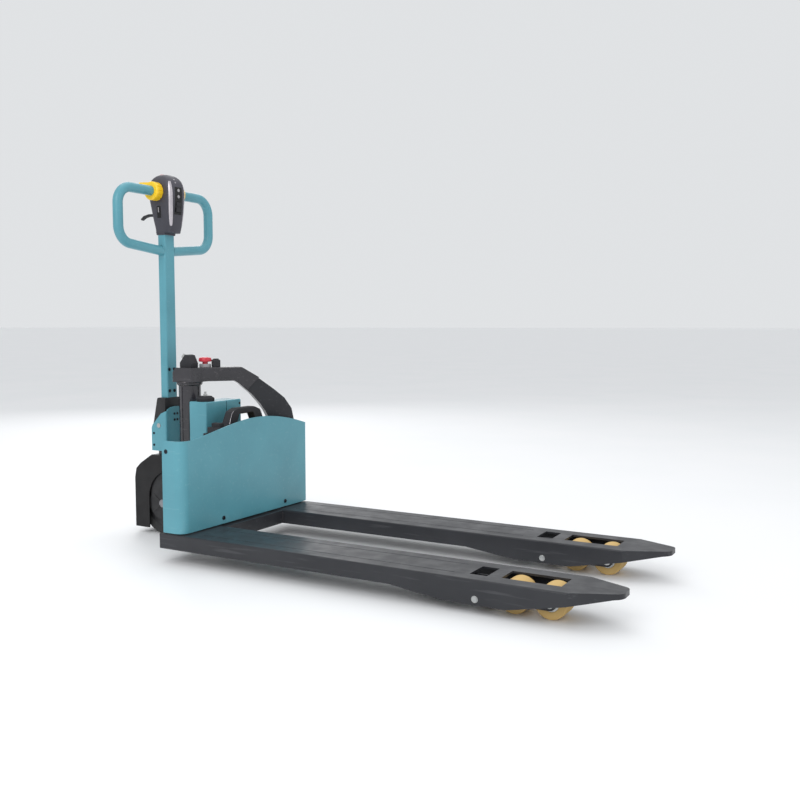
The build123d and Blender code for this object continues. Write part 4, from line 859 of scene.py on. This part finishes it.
@dataclass
class DriveUnit(Assembly):
    """Steered drive wheel, its yoke and guard, and the tiller bracket."""
    lip: float = 1.9
    bolts: int = 5
    bolt_circle: float = 44.0
    cover_screws: int = 6
    screw_circle: float = 46.0
    arch_inset: float = 55.0
    arch_height: float = 110.0
    arch_radius: float = 88.0
    arch_steps: int = 20

    own = (
        ("steer_spindle", ZINC, 0.4), ("drive_yoke", CAST, 1.2), ("motor_stator", DRAWN_STEEL, 0.6),
        ("wheel_guard", GUARD_PLASTIC, 1.0, 2), ("tiller_bracket", TEAL, 0.6),
        ("bracket_screws", BLACK_OXIDE, 0.12), ("tiller_pin", ZINC, 0.8), ("wheel_hub", CAST, 1.0),
        ("hub_cover", DRAWN_STEEL, 0.4), ("drive_tyre", TREAD, 0.0))

    def build(self) -> None:
        """Adds the guard's lips and ribs, the hub bolts and the hub cover's screws."""
        self.guard_trim()
        low, high, middle = box_of("wheel_hub")
        head = [(0, -0.6), (4.4, -0.6), (4.4, 2.4), (3.6, 3.2), (0, 3.2)]
        bolts = [lathe(head, spot, -Axis.Y.value, 6)
                 for spot in round_axle(middle, low.y, self.bolt_circle, self.bolts, 0.25)]
        put("hub_bolts", joined(bolts), "drive_wheel", ZINC, crease=30.0)
        cap = [(0, -0.6), (5.4, -0.6), (5.4, 1.0), (4.6, 1.8), (0, 1.9)]
        plugs = [lathe(cap, spot, Axis.Y.value, 20)
                 for spot in round_axle(middle, high.y - 0.2 * MM, self.screw_circle, self.cover_screws)]
        put("hub_cover_screws", joined(plugs), "drive_wheel", BLACK_OXIDE)

    def guard_trim(self) -> None:
        """Rolled lip round each arch of the guard, and ribs on its rear wall."""
        low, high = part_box("wheel_guard")
        arch_x, spring, radius = low.x + self.arch_inset * MM, self.arch_height * MM, self.arch_radius * MM
        lips = []
        for y, inward in ((low.y, 1), (high.y, -1)):
            path = [Vector((arch_x, y, z)) for z in (low.z + 2 * MM, spring / 2, spring)]
            reach = math.acos(max(-1.0, (arch_x + radius - (high.x - 2 * MM)) / radius))
            for index in range(1, self.arch_steps + 1):
                angle = reach * index / self.arch_steps
                away, rise = radius * (1 - math.cos(angle)), radius * math.sin(angle)
                path.append(Vector((arch_x + away, y, spring + rise)))
            lips.append(tube([p + Vector((0, inward * 1.4 * MM, 0)) for p in path], lambda _: self.lip, 10))
        put("guard_lips", joined(lips), "steer_unit", GUARD_PLASTIC)
        ribs = [slab((low.x + 0.4 * MM, (y - 1.6) * MM, low.z + 12 * MM),
                     (low.x + 5 * MM, (y + 1.6) * MM, low.z + 140 * MM), 0.6) for y in (-22, 0, 22)]
        put("guard_ribs", joined(ribs), "steer_unit", GUARD_PLASTIC)


@dataclass
class Tiller(Assembly):
    """Knuckle, tube and handle loops."""
    screw_places: tuple[tuple[float, float], ...] = ((-12, 84), (-12, 20), (8, 20), (8, 84))
    bar_radius: float = 13.6
    seed: int = SEED + 1

    own = (
        ("tiller_knuckle", CAST, 1.2), ("tiller_tube", TEAL, 0.4), ("handle_loop", TEAL, 0.0))

    def build(self) -> None:
        """Adds the tube's screws and the welds of the handle loops."""
        low, high, middle = box_of("tiller_tube")
        dome = [(0, -1), (4.0, -1), (4.0, 0.3), (3.5, 1.5), (2.2, 2.2), (1.7, 2.2), (1.6, 0.8), (0, 0.8)]
        washer = [(0, -0.4), (5.2, -0.4), (5.2, 0.5), (0, 0.5)]
        screws = []
        for y, z in self.screw_places:
            spot = Vector((high.x, y * MM, low.z + z * MM))
            screws.append(lathe(washer, spot, Axis.X.value, 24))
            screws.append(lathe(dome, spot + Vector((0.4 * MM, 0, 0)), Axis.X.value, 24))
        put("tube_screws", joined(screws), "tiller", BLACK_OXIDE)
        chance = random.Random(self.seed)
        join_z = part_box("handle_loop")[0].z + 17 * MM
        beads = []
        for sign in SIDES.values():
            centre = Vector((middle.x, sign * (high.y + 0.4 * MM), join_z))
            ring = ring_points(centre, self.bar_radius, Vector((0, sign, -0.1)).normalized(), 36)
            beads.append(weld_bead(ring, 1.7, chance, True))
        put("handle_welds", joined(beads), "tiller", TEAL_WELD)


@dataclass
class ControlPod(Assembly):
    """Pod shells with their trims, panel, buttons, knobs and lever."""
    trim_half: float = 4.4
    trim_share: float = 0.82
    panel_half: float = 14.5
    button_gap: float = 5.6
    rocker_gap: float = 8.6
    rocker_reach: float = 16.6
    boot_wall: float = 2.4
    proud: float = 0.45

    own = (
        ("pod_front_shell", GREY, 0.35), ("pod_rear_shell", GREY, 0.35), ("throttle_knobs", YELLOW, 0.5),
        ("belly_button", RED, 0.6), ("horn_button", COLLAR_GREY, 0.3),
        ("speed_button", COLLAR_GREY, 0.3), ("lift_rocker", BLACK, 0.6),
        ("release_lever", BLACK, 2.2, 4, 20.0))

    def build(self) -> None:
        """Adds the trims, the panel round the buttons, the side window, the black ring beside each knob as a
        painted shadow, and the tube's boot.
        """
        self.probe = SkinProbe("pod_front_shell", "pod_rear_shell")
        self.low, self.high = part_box("pod_front_shell")
        self.axis_x = (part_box("pod_rear_shell")[0].x + self.high.x) / 2
        self.trims()
        self.panel()
        self.side_windows()
        self.shadow_rings_and_boot()

    def half_width(self, z: float) -> float:
        """Half width of the pod at a height, felt from the side."""
        clear_of_bar = self.axis_x + 21 * MM
        return abs(self.probe.touch(Vector((clear_of_bar, -FAR_OFF, z)), Axis.Y.value)[0].y)

    def front_start(self, y: float, z: float) -> Vector:
        """Start of a ray that feels the pod's front."""
        return Vector((self.high.x + AHEAD, y, z))

    def trims(self) -> None:
        """Silver strip down each front corner."""
        start, end = self.low.z + 19 * MM, self.high.z - 22 * MM
        strips = []
        for sign in SIDES.values():
            def place(u: float, v: float, sign: int = sign) -> Vector:
                """Ray start on the strip."""
                z = start + (end - start) * (v + 1) / 2
                taper = 0.45 + 0.55 * math.sqrt(max(0.0, 1 - abs(v) ** 3))
                y = sign * self.trim_share * self.half_width(z) + u * self.trim_half * taper * MM
                return self.front_start(y, z)
            strips.append(laid_on(self.probe, place, -Axis.X.value, (4, 40), self.proud, 0.9))
        put("pod_trims", joined(strips), "tiller", SILVER)

    def panel(self) -> None:
        """Gloss black surround of the buttons and the rocker, with two lamps above."""
        horn, speed, rocker = (box_of(node)[2] for node in ("horn_button", "speed_button", "lift_rocker"))
        wide, hole, slot = self.panel_half * MM, self.button_gap * MM, self.rocker_gap * MM
        slot_low, slot_high = rocker.z - self.rocker_reach * MM, rocker.z + self.rocker_reach * MM
        patches = [(0.0, wide, slot_low - 5 * MM, slot_low), (0.0, wide, slot_high, speed.z - hole),
                   (0.0, wide, speed.z + hole, horn.z - hole), (0.0, wide, horn.z + hole, horn.z + 9.5 * MM)]
        for sign in SIDES.values():
            patches.append((sign * (slot + wide) / 2, (wide - slot) / 2, slot_low, slot_high))
            for z in (horn.z, speed.z):
                patches.append((sign * (hole + wide) / 2, (wide - hole) / 2, z - hole, z + hole))
        sheets = []
        for middle, half, low, high in patches:
            def place(u: float, v: float, middle: float = middle, half: float = half, low: float = low,
                      high: float = high) -> Vector:
                """Ray start on the patch."""
                return self.front_start(middle + half * u, low + (high - low) * (v + 1) / 2)
            rows = max(2, round((high - low) / (3 * MM)))
            sheets.append(laid_on(self.probe, place, -Axis.X.value, (6, rows), 0.3, 0.6))
        bezel = [(5.0, -0.8), (8.2, -0.8), (8.2, 0.4), (7.7, 0.8), (5.5, 0.8), (5.0, 0.4)]
        for z in (horn.z, speed.z):
            face = self.probe.touch(self.front_start(7 * MM, z), -Axis.X.value)[0]
            sheets.append(lathe(bezel, Vector((face.x, 0, z)), Axis.X.value, 40))
        put("pod_panel", joined(sheets), "tiller", GLOSS_BLACK)
        lamps = []
        for z in (22.0, 31.0):
            spot, out = self.probe.touch(self.front_start(-7 * MM, horn.z + z * MM), -Axis.X.value)
            lamps.append(lathe([(0, -0.6), (2.2, -0.6), (2.2, 0.3), (1.7, 0.9), (0, 1.1)], spot, out, 20))
        put("pod_lamps", joined(lamps), "tiller", SILVER)

    def side_windows(self) -> None:
        """Dark recessed window on each flank, with a pale reflector bar in it."""
        lever = box_of("release_lever")[1]
        x_mid, z_mid = self.axis_x - 1 * MM, lever.z + 1 * MM
        for side, sign in SIDES.items():
            def place(u: float, v: float, sign: int = sign) -> Vector:
                """Ray start on the window."""
                x = x_mid + u * 7.5 * MM * (1 - 0.05 * abs(v) ** 6)
                return Vector((x, sign * FAR_OFF, z_mid + v * 17 * MM))
            window = laid_on(self.probe, place, Vector((0, -sign, 0)), (8, 18), 0.35, 0.8)
            put(side + "_pod_window", window, "tiller", GLOSS_BLACK)

            def bar(u: float, v: float, sign: int = sign) -> Vector:
                """Ray start on the bar."""
                return Vector((x_mid + (u * 1.3 - 1) * MM, sign * FAR_OFF, z_mid + (6 + v * 7) * MM))
            strip = laid_on(self.probe, bar, Vector((0, -sign, 0)), (2, 8), 0.75, 0.5)
            put(side + "_pod_window_bar", strip, "tiller", SILVER)

    def shadow_rings_and_boot(self) -> None:
        """Black ring between each knob and the pod, a painted shadow, and the boot where the tube enters."""
        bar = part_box("handle_loop")[1].z - 14 * MM
        low, high, middle = box_of("tiller_tube")
        # Painted shadow: a black ring beside each knob, for the dark outline where it meets the pod.
        rings = []
        for sign in SIDES.values():
            start = Vector((middle.x, sign * 32 * MM, bar))
            rings.append(lathe([(14.2, 0), (22, 0), (24, 1), (24, 3.2), (23.4, 3.8), (14.2, 3.8)], start,
                               Vector((0, sign, 0)), 48))
        put("knob_shadow_rings", joined(rings), "tiller", BLACK)
        wall = self.boot_wall * MM
        boot = slab((low.x - wall, low.y - wall, self.low.z - 6 * MM),
                    (high.x + wall, high.y + wall, self.low.z + 3 * MM), 2.2, 3)
        put("pod_boot", boot, "tiller", GREY)


@dataclass
class LoadWheels(Assembly):
    """Rollers, bogies, arms, push rods and the shaft that works them."""
    tread_edge: float = 3.5

    own = (
        ("rocker_shaft", CHARCOAL, 0.8),
        *((side + node, finish, edge) for side in SIDES for node, finish, edge in (
            ("_push_rod", CHARCOAL, 0.6), ("_load_arm", CHARCOAL, 0.9), ("_bogie", CHARCOAL, 0.8),
            ("_bogie_pins", ZINC, 0.6))))

    def build(self) -> None:
        """Makes each load roller: tread and bearings."""
        for side in SIDES:
            for place in ("front", "rear"):
                self.roller(side, place)

    def roller(self, side: str, place: str) -> None:
        """One load roller.

        Args:
            side: near or far.
            place: front or rear.
        """
        node = f"{side}_{place}_roller"
        body = f"{side}_{place}_wheel"
        low, high, middle = box_of(node)
        half, radius, e = (high.y - low.y) / 2 / MM, (high.z - low.z) / 2 / MM, self.tread_edge
        corner = [(radius - e * (1 - math.sin(a)), e * (1 - math.cos(a)))
                  for a in (math.pi / 2 * i / 6 for i in range(7))]
        start = [(19.0, 1.6), (20.6, 0.2), (radius - e - 6, 0.0)]
        outer = start + [(r, h) for r, h in corner]
        mirrored = [(r, 2 * half - h) for r, h in reversed(outer)]
        tread = lathe(outer + mirrored, Vector((middle.x, low.y, middle.z)), Axis.Y.value, 96)
        put(node + "_tread", tread, body, AMBER, [node])
        ring = [(10.4, 2.2), (13.4, 2.2), (13.8, 1.8), (14.2, 2.4), (17.2, 2.4), (17.6, 1.6), (19.1, 1.6),
                (19.1, 12), (10.4, 12)]
        rings = []
        for face, way in ((low.y, 1), (high.y, -1)):
            spot = Vector((middle.x, face, middle.z))
            rings.append(lathe(ring, spot, Vector((0, way, 0)), 56))
        put(node + "_bearings", joined(rings), body, ZINC)


# ---------------- studio
@dataclass
class Studio:
    """Pale floor, soft lights and the camera."""
    floor_half: float = 150.0
    eye: tuple[float, float, float] = (1.287, -2.071, 0.629)
    azimuth: float = 29.39
    elevation: float = 4.67
    lens: float = 41.6

    def build(self) -> None:
        """Sets the stage."""
        self.floor()
        self.lights()
        self.camera()
        bpy.context.scene.view_settings.view_transform = "Standard"

    def floor(self) -> None:
        """Plain floor just under the wheels."""
        bm = bmesh.new()
        bmesh.ops.create_grid(bm, x_segments=1, y_segments=1, size=self.floor_half)
        bmesh.ops.translate(bm, verts=bm.verts, vec=(0, 0, -0.2 * MM))
        mesh = stored("floor", bm)
        floor = linked("floor", mesh)
        s = Surface("pale_floor")
        s.colour(s.blend(s.span(s.noise(1.5, 3.0), 0.3, 0.7), srgb(247, 247, 248), srgb(244, 245, 246)))
        s.rough(s.noise(6.0, 3.0), 0.6, 0.05, 0.05, 0.2)
        mesh.materials.append(s.material)

    def placed(self, name: str, data: bpy.types.ID, spot: Sequence[float], way: Vector) -> bpy.types.Object:
        """Adds a lamp or a camera that looks along a way."""
        thing = linked(name, data)
        thing.location = spot
        thing.rotation_mode = "QUATERNION"
        thing.rotation_quaternion = way.to_track_quat("-Z", "Y")
        return thing

    def lights(self) -> None:
        """Large soft lamps and an even surround."""
        world = bpy.data.worlds.new("surround")
        bpy.context.scene.world = world
        world.use_nodes = True
        background = world.node_tree.nodes["Background"]
        background.inputs["Color"].default_value = (0.96, 0.98, 1.0, 1.0)
        background.inputs["Strength"].default_value = 0.78
        aim = Vector((-0.1, 0.0, 0.3))
        lamps = {"key_light": ((0.4, -3.4, 2.6), 2.6, 62.0), "fill_light": ((3.4, 0.6, 1.8), 2.0, 9.0),
                 "top_light": ((-0.6, 0.6, 3.6), 3.0, 26.0), "back_light": ((-3.0, 2.6, 2.2), 2.0, 26.0)}
        for name, (spot, size, watts) in lamps.items():
            data = bpy.data.lights.new(name, "AREA")
            data.shape = "SQUARE"
            data.size = size
            data.energy = watts
            self.placed(name, data, spot, aim - Vector(spot))

    def camera(self) -> None:
        """Camera at the stated place and angle."""
        data = bpy.data.cameras.new("camera")
        data.lens = self.lens
        a, e = math.radians(self.azimuth), math.radians(self.elevation)
        back = Vector((math.sin(a) * math.cos(e), -math.cos(a) * math.cos(e), math.sin(e)))
        bpy.context.scene.camera = self.placed("camera", data, self.eye, -back)


def main() -> None:
    """Builds the truck in order."""
    logging.basicConfig(level=logging.INFO, format="%(name)s: %(message)s")
    Studio().build()
    assemblies = (ForkFrame(), PowerPack(), HeadControls(), Carriage(), DriveUnit(), Tiller(), ControlPod(),
                  LoadWheels())
    for assembly in assemblies:
        LOG.info("building %s", type(assembly).__name__)
        assembly.dress()
        assembly.build()


if __name__ == "__main__":
    main()
